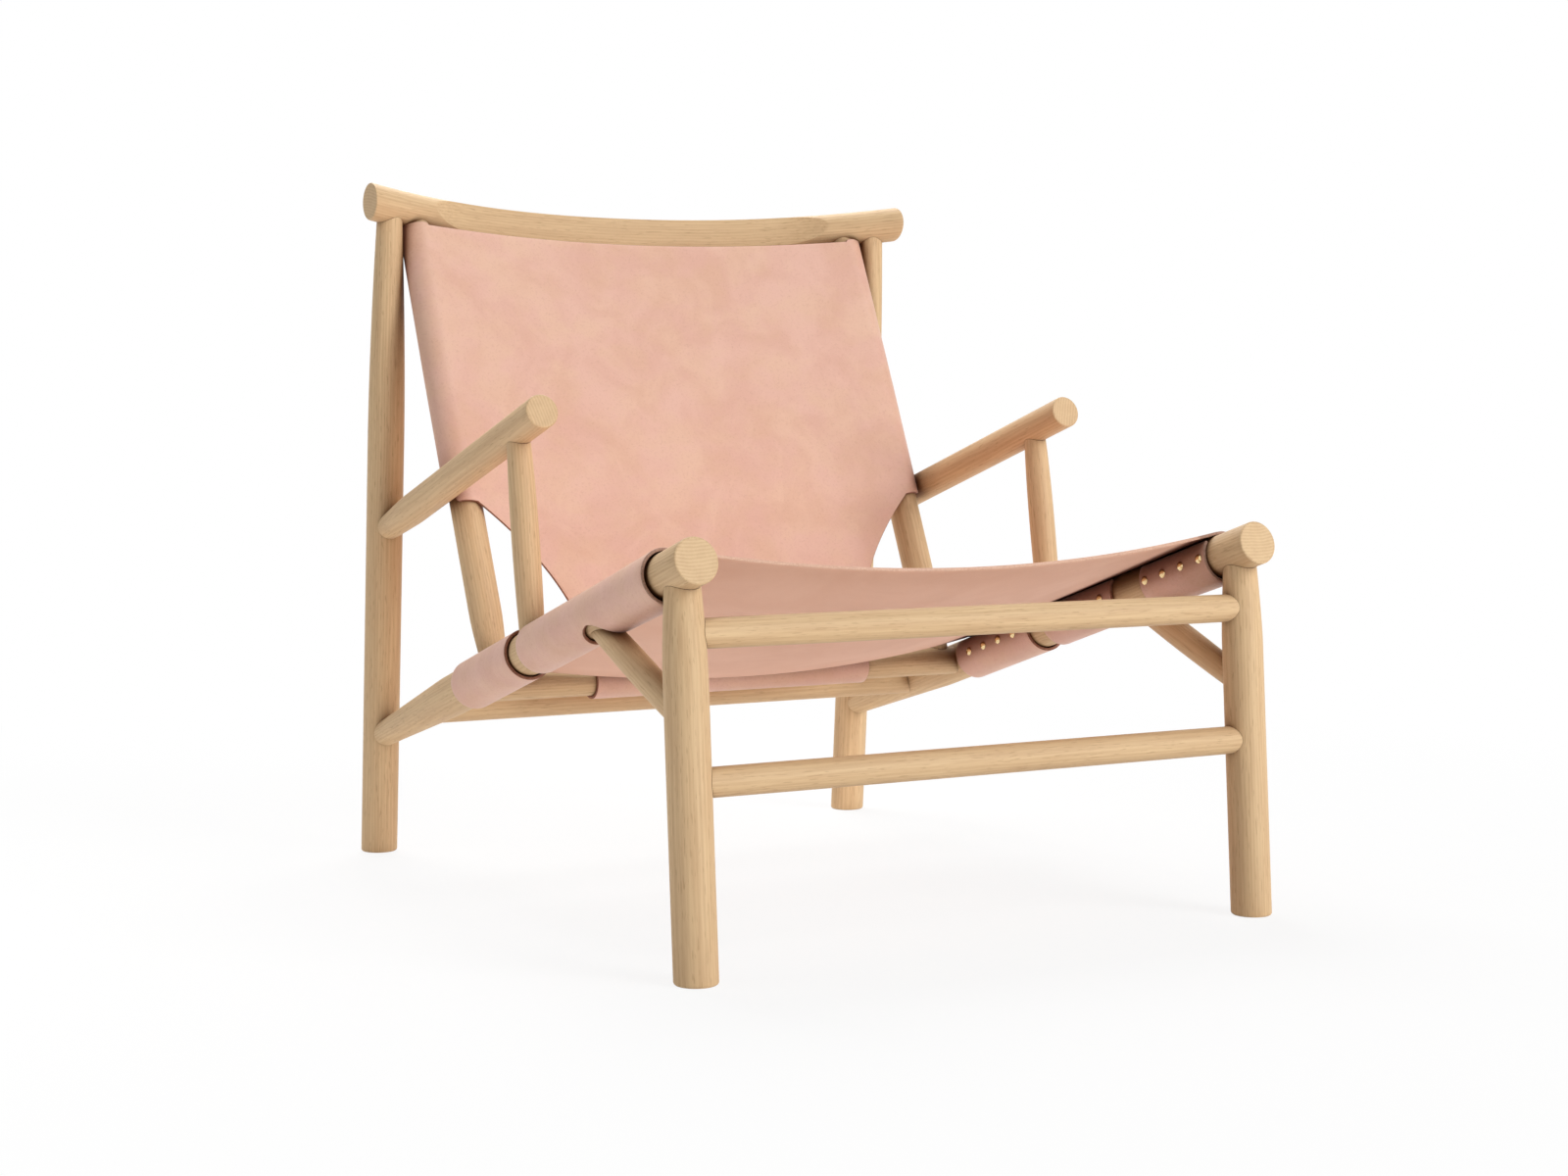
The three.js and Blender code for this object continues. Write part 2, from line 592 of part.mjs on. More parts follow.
function seatSlingSolid() {
  const vertices = [];
  const roundingOf = [0, 1, -1, 0, 0, 0];
  seatStations.forEach((s, i) => {
    const centre = onRail(s).setX(0);
    const half = hammock(RAIL_R, TRACK / 2, seatSag(s), flapAngles, armPostR + SLOT_EASE, SEAT_STEPS);
    bothHalves(half).forEach((c, j, line) => {
      const side = Math.min(j, line.length - 1 - j);
      const inwards = side < flapAngles.length ? roundingOf[i] * slotRounding(flapAngles[side]) : 0;
      const at = centre.clone().addScaledVector(railWay, inwards).addScaledVector(railUp, c.height);
      const out = railUp.clone().multiplyScalar(c.outHeight).setX(c.outAcross);
      vertices.push({ at: at.setX(c.across), out });
    });
  });
  const columns = vertices.length / seatStations.length;
  const braceEnd = flapAngles.indexOf(slotEnd);
  const postEnd = flapAngles.length + 1;
  const cells = [];
  for (let i = 0; i + 1 < seatStations.length; i += 1) {
    for (let j = 0; j + 1 < columns; j += 1) {
      const side = Math.min(j, columns - 2 - j);
      const open = (i === 1 && side < braceEnd) || (i === 3 && side < postEnd);
      if (!open) {
        const a = i * columns + j;
        cells.push([a, a + 1, a + 1 + columns, a + columns]);
      }
    }
  }
  return solidOf(thickened(vertices, cells, HIDE));
}

// Back sling: hangs between the uprights and narrows to a tab round the crossbar.
const backUp = uprightTop.clone().sub(uprightFoot).normalize();
const backOut = V(0, -backUp.z, backUp.y);
const backTop = uprightLength - BACK_TOP_GAP;
const backAngles = spread(BACK_FLAP_END, 90, BACK_TURN_STEPS);
const tabR = CROSSBAR_R + HIDE_EASE + HIDE / 2;
const onBack = (v) => barCentre.clone().addScaledVector(backUp, v);
const besideArm = crossing(uprightFoot, uprightTop, armRear, armPostTop).distanceTo(uprightFoot);
const backOverArm = besideArm + ARM_R / Math.abs(railWay.dot(backOut)) + BACK_ARM_GAP;

// How far the lower edge of a wrap is cut back on the outer face, to clear the arm.
function armCut(turn) {
  const step = clamp01((turn - BACK_STEP_FROM) / (BACK_STEP_TO - BACK_STEP_FROM));
  return (backOverArm - BACK_LOW_EDGE) * smooth(step);
}

function backLine(v) {
  const sag = BACK_SAG * clamp01(v / backTop) ** BACK_SAG_POWER;
  const half = hammock(uprightR(v), -uprightX, sag, backAngles, BACK_HANG_INSET, BACK_STEPS);
  const above = (backTop - v) / (backTop - BACK_LOW_EDGE);
  return bothHalves(half).map((c, j, line) => {
    const turn = backAngles[Math.min(j, line.length - 1 - j)];
    const edge = turn === undefined ? (above - 1) * BACK_TOP_DROP : above * armCut(turn);
    return {
      at: onBack(v + edge).addScaledVector(backOut, c.height).setX(c.across),
      out: backOut.clone().multiplyScalar(c.outHeight).setX(c.outAcross),
      depth: c.height,
    };
  });
}

function backSlingSolid() {
  const low = backLine(BACK_LOW_EDGE);
  const first = backAngles.length;
  const middle = low.slice(first, low.length - first);
  const reach = -middle[0].at.x;
  const tabRow = (v) => {
    const half = mix(TAB_HALF, reach, (v / BACK_LOW_EDGE) ** TAB_CURVE_POWER);
    const ease = smooth(v / BACK_LOW_EDGE);
    return middle.map((p) => ({
      at: onBack(v).addScaledVector(backOut, mix(tabR, p.depth, ease)).setX((p.at.x / reach) * half),
      out: backOut.clone(),
    }));
  };
  const wrapRow = (turn) => {
    const facing = backOut.clone().multiplyScalar(Math.cos(rad(turn)));
    facing.addScaledVector(backUp, -Math.sin(rad(turn)));
    return middle.map((p) => ({
      at: barCentre.clone().addScaledVector(facing, tabR).setX((p.at.x / reach) * TAB_HALF),
      out: facing,
    }));
  };
  const vertices = [];
  const grid = [];
  const push = (row, at) => {
    const ids = new Array(low.length).fill(-1);
    row.forEach((v, j) => {
      ids[at + j] = vertices.push(v) - 1;
    });
    grid.push(ids);
  };
  spread(TAB_WRAP, 0, TAB_TURN_STEPS).slice(0, -1).forEach((turn) => push(wrapRow(turn), first));
  spread(0, BACK_LOW_EDGE, TAB_ROWS).slice(0, -1).forEach((v) => push(tabRow(v), first));
  spread(BACK_LOW_EDGE, backTop, BACK_ROWS).forEach((v) => push(backLine(v), 0));
  const cells = [];
  for (let i = 0; i + 1 < grid.length; i += 1) {
    for (let j = 0; j + 1 < low.length; j += 1) {
      const corners = [grid[i][j], grid[i][j + 1], grid[i + 1][j + 1], grid[i + 1][j]];
      if (corners.every((c) => c >= 0)) {
        cells.push(corners);
      }
    }
  }
  return solidOf(thickened(vertices, cells, HIDE));
}

let seatSling = seatSlingSolid();
let backSling = backSlingSolid();

// Nails

function nailGeometry(root, out) {
  const domeR = (NAIL_HEAD_R ** 2 + NAIL_HEAD_H ** 2) / (2 * NAIL_HEAD_H);
  const shoulder = NAIL_HEAD_R * NAIL_SHOULDER;
  const rise = NAIL_HEAD_H - domeR + Math.sqrt(domeR ** 2 - shoulder ** 2);
  const outline = [[0, -NAIL_LENGTH], [NAIL_SHANK_R, -NAIL_LENGTH], [NAIL_SHANK_R, 0],
    [NAIL_HEAD_R, 0], [shoulder, rise], [0, NAIL_HEAD_H]];
  const points = outline.map(([r, z]) => new THREE.Vector2(r, z + NAIL_GAP));
  const blank = new THREE.LatheGeometry(points, PIN).rotateX(Math.PI / 2);
  return geometryFrom(solidOf(placed(blank, root, root.clone().add(out))));
}

function nailBore(root, out) {
  const inner = root.clone().addScaledVector(out, NAIL_GAP - NAIL_LENGTH - FIT_GAP);
  const outer = root.clone().addScaledVector(out, NAIL_LIP);
  return rod(inner, outer, NAIL_SHANK_R + FIT_GAP, PIN);
}

const sideNails = [];
const tabNails = [];
const spaced = (a, b, n) => spread(a + NAIL_MARGIN, b - NAIL_MARGIN, n - 1);

const seatTabs = [['front', seatFront, braceSlot.front], ['middle', braceSlot.rear, postSlot.front],
  ['rear', postSlot.rear, seatRear]];
const nailRow = (NAILS_PER_TAB - 1) * NAIL_PITCH;
seatTabs.forEach(([tab, from, to]) => spread(-0.5, 0.5, NAILS_PER_TAB - 1).forEach((t, i) => {
  const s = (from + to) / 2 + t * nailRow;
  const out = V(1, 0, 0);
  const root = onRail(s).addScaledVector(out, wrappedR);
  const bore = nailBore(root, out);
  sideNails.push([`seat_nail_${tab}_${i + 1}`, nailGeometry(root, out)]);
  sideRail.solid = sideRail.solid.subtract(bore);
  seatSling = seatSling.subtract(bore).subtract(opposite(bore));
}));

spaced(backOverArm, backTop, BACK_NAILS).forEach((v, i) => {
  const turn = rad(BACK_NAIL_ANGLE);
  const out = backOut.clone().multiplyScalar(Math.sin(turn)).setX(Math.cos(turn));
  const root = onBack(v).setX(uprightX).addScaledVector(out, uprightR(v) + wrap);
  const bore = nailBore(root, out);
  sideNails.push([`back_nail_${i + 1}`, nailGeometry(root, out)]);
  upright.solid = upright.solid.subtract(bore);
  backSling = backSling.subtract(bore).subtract(opposite(bore));
});

spaced(-TAB_HALF, TAB_HALF, TAB_NAILS).forEach((x, i) => {
  const turn = rad(TAB_NAIL_ANGLE);
  const out = backOut.clone().multiplyScalar(Math.cos(turn)).addScaledVector(backUp, -Math.sin(turn));
  const root = barCentre.clone().addScaledVector(out, CROSSBAR_R + wrap).setX(x);
  const bore = nailBore(root, out);
  tabNails.push([`tab_nail_${i + 1}`, nailGeometry(root, out)]);
  crossbar.solid = crossbar.solid.subtract(bore);
  backSling = backSling.subtract(bore);
});

// Assembly

const chair = new THREE.Group();
chair.name = 'sling_lounge_chair';

function addPiece(name, geometry, look) {
  geometry.computeVertexNormals();
  const piece = new THREE.Mesh(geometry, new THREE.MeshStandardMaterial(look));
  piece.name = name;
  chair.add(piece);
}

function addPair(name, geometry, look) {
  addPiece(`${name}_left`, geometry, look);
  addPiece(`${name}_right`, mirrored(geometry), look);
}

addPair('rear_post', geometryFrom(rearPost.solid), OAK);
addPair('front_leg', geometryFrom(frontLeg.solid), OAK);
addPair('side_rail', geometryFrom(sideRail.solid), OAK);
addPair('arm', geometryFrom(arm.solid), OAK);
addPair('arm_post', geometryFrom(armPost.solid), OAK);
addPair('brace', geometryFrom(brace.solid), OAK);
addPair('back_upright', geometryFrom(upright.solid), OAK);
addPiece('crest_rail', geometryFrom(crestRail.solid), OAK);
addPiece('front_stretcher_upper', geometryFrom(upperStretcher.solid), OAK);
addPiece('front_stretcher_lower', geometryFrom(lowerStretcher.solid), OAK);
addPiece('rear_crossbar', geometryFrom(crossbar.solid), OAK);
addPiece('rear_tie_bar', geometryFrom(tieBar.solid), OAK);
addPiece('seat_sling', geometryFrom(seatSling), HIDE_LOOK);
addPiece('back_sling', geometryFrom(backSling), HIDE_LOOK);
sideNails.forEach(([name, geometry]) => addPair(name, geometry, BRASS));
tabNails.forEach(([name, geometry]) => addPiece(name, geometry, BRASS));

// The frame origin is on the floor under the middle of the whole chair.
const box = new THREE.Box3().setFromObject(chair);
chair.position.y = -(box.min.y + box.max.y) / 2;
chair.updateMatrixWorld(true);

export default chair;
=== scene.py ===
import json
import math

import bpy
import numpy as np
from mathutils import Euler, Matrix, Vector


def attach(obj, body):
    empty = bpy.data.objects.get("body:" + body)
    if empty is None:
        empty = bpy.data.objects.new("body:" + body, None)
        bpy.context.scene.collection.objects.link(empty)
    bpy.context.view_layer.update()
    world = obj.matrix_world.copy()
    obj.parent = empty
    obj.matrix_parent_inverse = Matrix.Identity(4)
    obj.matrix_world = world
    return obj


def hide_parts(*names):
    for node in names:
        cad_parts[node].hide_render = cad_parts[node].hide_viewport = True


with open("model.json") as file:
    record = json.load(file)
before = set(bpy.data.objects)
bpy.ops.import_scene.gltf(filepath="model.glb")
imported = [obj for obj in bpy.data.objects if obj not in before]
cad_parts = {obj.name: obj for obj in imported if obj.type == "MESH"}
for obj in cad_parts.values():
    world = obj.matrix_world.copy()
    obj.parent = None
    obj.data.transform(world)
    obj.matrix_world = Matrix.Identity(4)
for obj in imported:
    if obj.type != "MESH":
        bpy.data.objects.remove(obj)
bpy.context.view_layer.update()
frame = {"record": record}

MM = 0.001
X = np.array([1.0, 0.0, 0.0])
Y = np.array([0.0, 1.0, 0.0])
Z = np.array([0.0, 0.0, 1.0])
MIRROR = -X + Y + Z

# Places in this script are millimetres from the floor point midway between the front feet.
feet = {m["name"]: np.array(m["pos_m"]) / MM for m in frame["record"]["mounts"]}
FRONT_FOOT = feet["foot_front_left"]
REAR_FOOT = feet["foot_rear_left"]
SIDE_X = FRONT_FOOT[0]
TRACK = -2 * SIDE_X
WHEELBASE = REAR_FOOT[1] - FRONT_FOOT[1]
FOOT_LINE = Y * FRONT_FOOT[1]

# Camera
CAMERA_PLACE = (-1403.3, -2041.9, 529.0)
CAMERA_YAW = 29.686
CAMERA_PITCH = -3.931
CAMERA_LENS = 57.45
SENSOR_WIDTH = 36.0

# Legs, posts and side rails
SIDE_SLOPE = 17.15
LEG_R = 21.6
FRONT_LEG_TOP_R = 16.3
FRONT_LEG_TAPER_FROM = 290.0
FRONT_LEG_POWER = 1.4
REAR_POST_TOP_R = 14.2
REAR_POST_TAPER_FROM = 500.0
REAR_POST_POWER = 1.8
POST_LEAD = 3.2
RAIL_R = 23.2
RAIL_END_R = 14.6
RAIL_TAPER = 236.0
RAIL_POWER = 0.95
RAIL_FRONT_HEIGHT = 396.3
RAIL_OVERHANG = 2.7
FRONT_LEG_STATION = 31.0

# Arms, arm posts and braces
ARM_R = 18.3
ARM_END_R = 13.2
ARM_TAPER = 96.0
ARM_POWER = 0.7
ARM_HEIGHT = 391.5
ARM_POST_MID_R = 14.9
ARM_POST_FOOT_R = 12.4
ARM_POST_TOP_R = 11.3
ARM_POST_STATION = 387.0
ARM_POST_REACH = 418.0
ARM_OVERHANG = 66.0
BRACE_R = 14.8
BRACE_END_R = 12.6
BRACE_STATION = 232.0
BRACE_HEIGHT = 245.0
SPINDLE_POWER = 0.6

# Stretchers, crossbars and back uprights
STRETCHER_R = 14.8
STRETCHER_END_R = 14.5
BAR_TAPER = 130.0
BAR_POWER = 0.5
UPPER_STRETCHER_HEIGHT = 326.0
LOWER_STRETCHER_HEIGHT = 186.5
CROSSBAR_R = 16.8
CROSSBAR_STATION = 578.0
TIE_BAR_R = 16.8
TIE_BAR_STATION = 698.0
UPRIGHT_R = 18.6
UPRIGHT_TOP_R = 17.4
UPRIGHT_TAPER_FROM = 358.0
UPRIGHT_NECK_R = 13.5
UPRIGHT_NECK_FROM = 24.0
UPRIGHT_NECK_TO = 16.0
UPRIGHT_FOOT_R = 13.6
UPRIGHT_FOOT_TAPER = 90.0
UPRIGHT_CLEARANCE = 0.9

# Crest rail
CREST_R = 21.5
CREST_OVERHANG = 29.0
CREST_END_HEIGHT = 779.8
CREST_END_Y = 763.0
CREST_BOW = 83.0
CREST_DIP = 22.0
CREST_BOW_POWER = 2.2
FACET_DEPTH = 11.5
FACET_INSET = 84.0
FACET_RUNOUT = 60.0
FACET_TILT = 20.0
FACET_LEAST = 5.0

# Hide
HIDE = 3.4
HIDE_EASE = 0.6
HIDE_EDGE_ROUND = 0.7
HIDE_EDGE_STEPS = 6
SEAT_LEG_GAP = 1.7
SEAT_BAR_GAP = 3.0
SEAT_SAG_FRONT = 29.0
SEAT_SAG_EXTRA = 12.0
SEAT_SAG_REAR = 33.0
SLEEVE_LOOSE = 3.2
SLEEVE_LOOSE_RUN = 150.0
SLEEVE_LOOSE_LEAST = 1.2
SLEEVE_POWER = 0.8
SEAT_HANG_INSET = 4.5
FLAP_END = 40.0
BRACE_SLOT_END = 60.0
SLOT_EASE = 2.4
SLOT_FLAT = 0.08
BACK_TOP_GAP = 24.0
BACK_TOP_DROP = 3.6
BACK_LOW_EDGE = 216.0
BACK_ARM_GAP = 3.0
BACK_STEP_FROM = 135.0
BACK_STEP_TO = 160.0
BACK_SAG = 32.0
BACK_SAG_POWER = 0.8
BACK_FLAP_END = 315.0
BACK_HANG_INSET = 6.0
WRAP_EDGE_RISE = 3.0
WRAP_EDGE_RUN = 24.0
TAB_HALF = 181.0
TAB_CURVE_POWER = 2.05
TAB_WRAP = 235.0

# Nails
NAIL_HEAD_R = 5.0
NAIL_HEAD_H = 2.8
NAIL_RIM = 0.4
NAIL_GAP = 0.2
NAIL_FOOT_SHARE = 0.9
NAIL_DOME_SHARE = 0.985
NAIL_DOME_STEPS = 8
NAIL_SIDES = 24
NAIL_MARGIN = 15.0
NAIL_PITCH = 32.2
NAILS_PER_TAB = 4
BACK_NAIL_ANGLE = 293.0
BACK_NAILS = 6
TAB_NAIL_ANGLE = 218.0
TAB_NAILS = 3

# Fineness and fits of the wood
SIDES = 56
FLAT_SIDES = 14
BODY_ROWS = 44
EDGE_EASE = 1.8
FOOT_EASE = 3.0
EASE_STEPS = 4
JOINT_GAP = 0.35
COPE_REACH = 85.0
BISECTIONS = 40
LIFT_ROUNDS = 4
ACROSS_LIMIT = 0.9
CAP_SHARES = (0.0, 0.3, 0.6, 0.85, 0.97)
SHARP_ANGLE = math.radians(38)
ANGLES = np.linspace(0, 2 * math.pi, SIDES, endpoint=False)


def unit(v):
    return v / np.linalg.norm(v)


def mix(a, b, t):
    return a + (b - a) * t


def smooth(t):
    t = np.clip(t, 0.0, 1.0)
    return t * t * (3 - 2 * t)


def tapered(start, end, r0, r1, power):
    return lambda s: mix(r0, r1, np.clip((s - start) / (end - start), 0, 1) ** power)


def swollen(r0, middle, r1, size):
    def radius(s):
        t = np.clip(s / size, 0, 1)
        return mix(mix(r0, r1, t), middle, np.clip(np.sin(math.pi * t), 0, 1) ** SPINDLE_POWER)
    return radius


def in_frame(points):
    return (np.asarray(points) + FOOT_LINE) * MM


class Member:
    """A round member: its axis, its radius along the axis and its own directions. A level one keeps
    level sections, as the legs and posts do, and is measured by height."""

    def __init__(self, p, q, radius, level=False):
        self.p = p
        self.radius = radius
        self.measure = Z if level else unit(q - p)
        self.length = (q - p) @ self.measure
        self.way = (q - p) / self.length
        across = X if abs(self.way[0]) < ACROSS_LIMIT else Z
        self.u = unit(across - self.measure * (across @ self.measure))
        self.v = np.cross(self.measure, self.u)

    def at(self, s, share=1.0, angles=ANGLES):
        s = np.broadcast_to(np.asarray(s, float), angles.shape)
        r = self.radius(s) * share
        return (self.p + np.outer(s, self.way) + np.outer(r * np.cos(angles), self.u)
                + np.outer(r * np.sin(angles), self.v))

    def local(self, points):
        away = points - self.p
        s = away @ self.measure
        away = away - np.outer(s, self.way)
        return np.stack([away @ self.u, away @ self.v, s], axis=1)

    def outside(self, points):
        a, b, s = self.local(points).T
        return np.hypot(a, b) - self.radius(s)

    def on(self, s):
        return self.p + self.way * s


class Crest:
    """The bowed crest rail, measured by x, with a flat worked on its front between the uprights."""

    def __init__(self, half, facet_half):
        self.half = half
        self.facet_half = facet_half

    def axis(self, x):
        t = 1 - np.abs(x / self.half) ** CREST_BOW_POWER
        return np.stack([x, CREST_END_Y + CREST_BOW * t, CREST_END_HEIGHT - CREST_DIP * t], axis=-1)

    def way(self, x):
        steep = np.abs(x / self.half) ** (CREST_BOW_POWER - 1)
        slope = -CREST_BOW_POWER * np.sign(x) * steep / self.half
        way = np.stack([np.ones_like(x), CREST_BOW * slope, -CREST_DIP * slope], axis=-1)
        return way / np.linalg.norm(way, axis=-1, keepdims=True)

    def at(self, x, share=1.0):
        x = float(x)
        way = self.way(np.array(x))
        tilt = math.radians(FACET_TILT)
        front = -Y * math.cos(tilt) + Z * math.sin(tilt)
        front = unit(front - way * (front @ way))
        side = np.cross(way, front)
        cut = 1 - min(1.0, max(0.0, (abs(x) - self.facet_half) / FACET_RUNOUT)) ** 2
        half = max(math.radians(FACET_LEAST), math.acos(1 - FACET_DEPTH * cut / CREST_R))
        arc = np.linspace(half, 2 * math.pi - half, SIDES - FLAT_SIDES + 1)
        chord = np.linspace(-1, 1, FLAT_SIDES + 1)[1:-1]
        ahead = np.append(np.cos(arc), np.full(len(chord), math.cos(half))) * CREST_R * share
        up = np.append(np.sin(arc), chord * math.sin(half)) * CREST_R * share
        points = self.axis(np.array(x)) + np.outer(ahead, front) + np.outer(up, side)
        return points + np.outer((x - points[:, 0]) / way[0], way)

    def local(self, points):
        away = points - self.axis(points[:, 0])
        return np.stack([away @ Y, away @ Z, points[:, 0]], axis=1)

    def outside(self, points):
        away = points - self.axis(points[:, 0])
        way = self.way(points[:, 0])
        away = away - way * np.sum(away * way, axis=1, keepdims=True)
        return np.linalg.norm(away, axis=1) - CREST_R


def coped(member, host, joint, out, share):
    """Where each side line of a member comes out of its host, by halving from the joint outwards."""
    low = np.full(SIDES, float(joint))
    high = low + out * COPE_REACH
    for _ in range(BISECTIONS):
        middle = (low + high) / 2
        buried = host.outside(member.at(middle, share)) < JOINT_GAP
        low = np.where(buried, middle, low)
        high = np.where(buried, high, middle)
    return high


def coped_end(member, host, joint, out):
    """Rings of a shoulder that fits round its host, from the middle to the rim, and the rim's stations."""
    rings = [member.at(coped(member, host, joint, out, share), share) for share in CAP_SHARES]
    rim = coped(member, host, joint, out, 1.0)
    return rings, rim


def cut_end(member, end, out, ease):
    """Rings of a flat cut end with an eased edge, from the middle to the rim, and the rim's stations."""
    inner = 1 - ease / float(np.asarray(member.radius(np.array(end))))
    rings = [member.at(end, inner * share) for share in CAP_SHARES]
    for w in np.linspace(math.pi / 2, 0, EASE_STEPS + 1)[:-1]:
        rings.append(member.at(end + out * ease * (1 - math.sin(w)), 1 - (1 - inner) * (1 - math.cos(w))))
    return rings, np.full(SIDES, float(end + out * ease))


def member_rings(member, start, end):
    first, s0 = start
    last, s1 = end
    body = [member.at(mix(s0, s1, t)) for t in np.linspace(0, 1, BODY_ROWS)]
    return [*first, *body, *last[::-1]]


# Frame lines of the left side

slope = math.radians(SIDE_SLOPE)
RAIL_WAY = Y * math.cos(slope) - Z * math.sin(slope)
RAIL_UP = Y * math.sin(slope) + Z * math.cos(slope)
RAIL_FRONT = np.array([SIDE_X, -RAIL_OVERHANG, RAIL_FRONT_HEIGHT])
WRAP = HIDE_EASE + HIDE
UPRIGHT_X = SIDE_X + UPRIGHT_CLEARANCE + max(
    REAR_POST_TOP_R + UPRIGHT_TOP_R + WRAP, ARM_R + UPRIGHT_R, RAIL_R + UPRIGHT_FOOT_R)


def on_rail(s):
    return RAIL_FRONT + RAIL_WAY * s


crest = Crest(TRACK / 2 + CREST_OVERHANG, -UPRIGHT_X - FACET_INSET)
post_foot = np.array([SIDE_X, WHEELBASE, 0.0])
post_top = crest.axis(np.array(SIDE_X)) - Y * POST_LEAD
leg_foot = np.array([SIDE_X, 0.0, 0.0])
leg_top = on_rail(FRONT_LEG_STATION)
bar_centre = on_rail(CROSSBAR_STATION) * (Y + Z)
upright_foot = bar_centre + X * UPRIGHT_X
upright_top = crest.axis(np.array(UPRIGHT_X))


def on_post(z):
    return mix(post_foot, post_top, z / post_top[2])


def on_leg(z):
    return mix(leg_foot, leg_top, z / leg_top[2])


def crossing(p, way, q, other):
    """How far along one axis another in the same side plane crosses it."""
    away = q - p
    return (away[1] * other[2] - away[2] * other[1]) / (way[1] * other[2] - way[2] * other[1])


rail_length = crossing(RAIL_FRONT, RAIL_WAY, post_foot, post_top - post_foot)
rail_rear = on_rail(rail_length)
arm_rear = on_post(ARM_HEIGHT)
arm_length = ARM_POST_REACH + ARM_OVERHANG
arm_post_foot = on_rail(ARM_POST_STATION)
arm_post_top = arm_rear - RAIL_WAY * ARM_POST_REACH
brace_foot = on_leg(BRACE_HEIGHT)
brace_top = on_rail(BRACE_STATION)
upright_length = np.linalg.norm(upright_top - upright_foot)
arm_post_length = np.linalg.norm(arm_post_top - arm_post_foot)
brace_length = np.linalg.norm(brace_top - brace_foot)

leg_radius = tapered(FRONT_LEG_TAPER_FROM, leg_top[2], LEG_R, FRONT_LEG_TOP_R, FRONT_LEG_POWER)
arm_post_radius = swollen(ARM_POST_FOOT_R, ARM_POST_MID_R, ARM_POST_TOP_R, arm_post_length)
upright_top_radius = tapered(UPRIGHT_TAPER_FROM, upright_length, UPRIGHT_R, UPRIGHT_TOP_R, 1)


def upright_radius(s):
    foot = mix(UPRIGHT_FOOT_R, UPRIGHT_R, smooth(s / UPRIGHT_FOOT_TAPER))
    neck = (s - upright_length + UPRIGHT_NECK_FROM) / (UPRIGHT_NECK_FROM - UPRIGHT_NECK_TO)
    top = mix(upright_top_radius(s), UPRIGHT_NECK_R, smooth(neck))
    return np.where(s < UPRIGHT_FOOT_TAPER, foot, top)


def bar_radius(r, end_r):
    taper = tapered(0, BAR_TAPER, end_r, r, BAR_POWER)
    return lambda s: taper(np.minimum(s, TRACK - s))


def bar(centre, r, end_r):
    middle = centre * (Y + Z)
    return Member(middle + X * SIDE_X, middle - X * SIDE_X, bar_radius(r, end_r))


rear_post = Member(post_foot, post_top, tapered(
    REAR_POST_TAPER_FROM, post_top[2], LEG_R, REAR_POST_TOP_R, REAR_POST_POWER), level=True)
front_leg = Member(leg_foot, leg_top, leg_radius, level=True)
side_rail = Member(RAIL_FRONT, rail_rear, tapered(
    rail_length - RAIL_TAPER, rail_length, RAIL_R, RAIL_END_R, RAIL_POWER))
arm = Member(arm_rear, arm_rear - RAIL_WAY * arm_length, tapered(
    0, ARM_TAPER, ARM_END_R, ARM_R, ARM_POWER))
arm_post = Member(arm_post_foot, arm_post_top, arm_post_radius)
brace = Member(brace_foot, brace_top, swollen(BRACE_END_R, BRACE_R, BRACE_END_R, brace_length))
upright = Member(upright_foot, upright_top, upright_radius)
upper_stretcher = bar(on_leg(UPPER_STRETCHER_HEIGHT), STRETCHER_R, STRETCHER_END_R)
lower_stretcher = bar(on_leg(LOWER_STRETCHER_HEIGHT), STRETCHER_R, STRETCHER_END_R)
crossbar = bar(bar_centre, CROSSBAR_R, CROSSBAR_R)
tie_bar = bar(on_rail(TIE_BAR_STATION), TIE_BAR_R, TIE_BAR_R)


# Looks


# Painted shade in corners and joints: its samples, the openness over which it fades out, and the height in
# metres over which it sets in above the floor
PAINTED_SHADE_SAMPLES = 8
PAINTED_SHADE_SPAN = (0.25, 0.95)
PAINTED_SHADE_FLOOR = (0.06, 0.1)


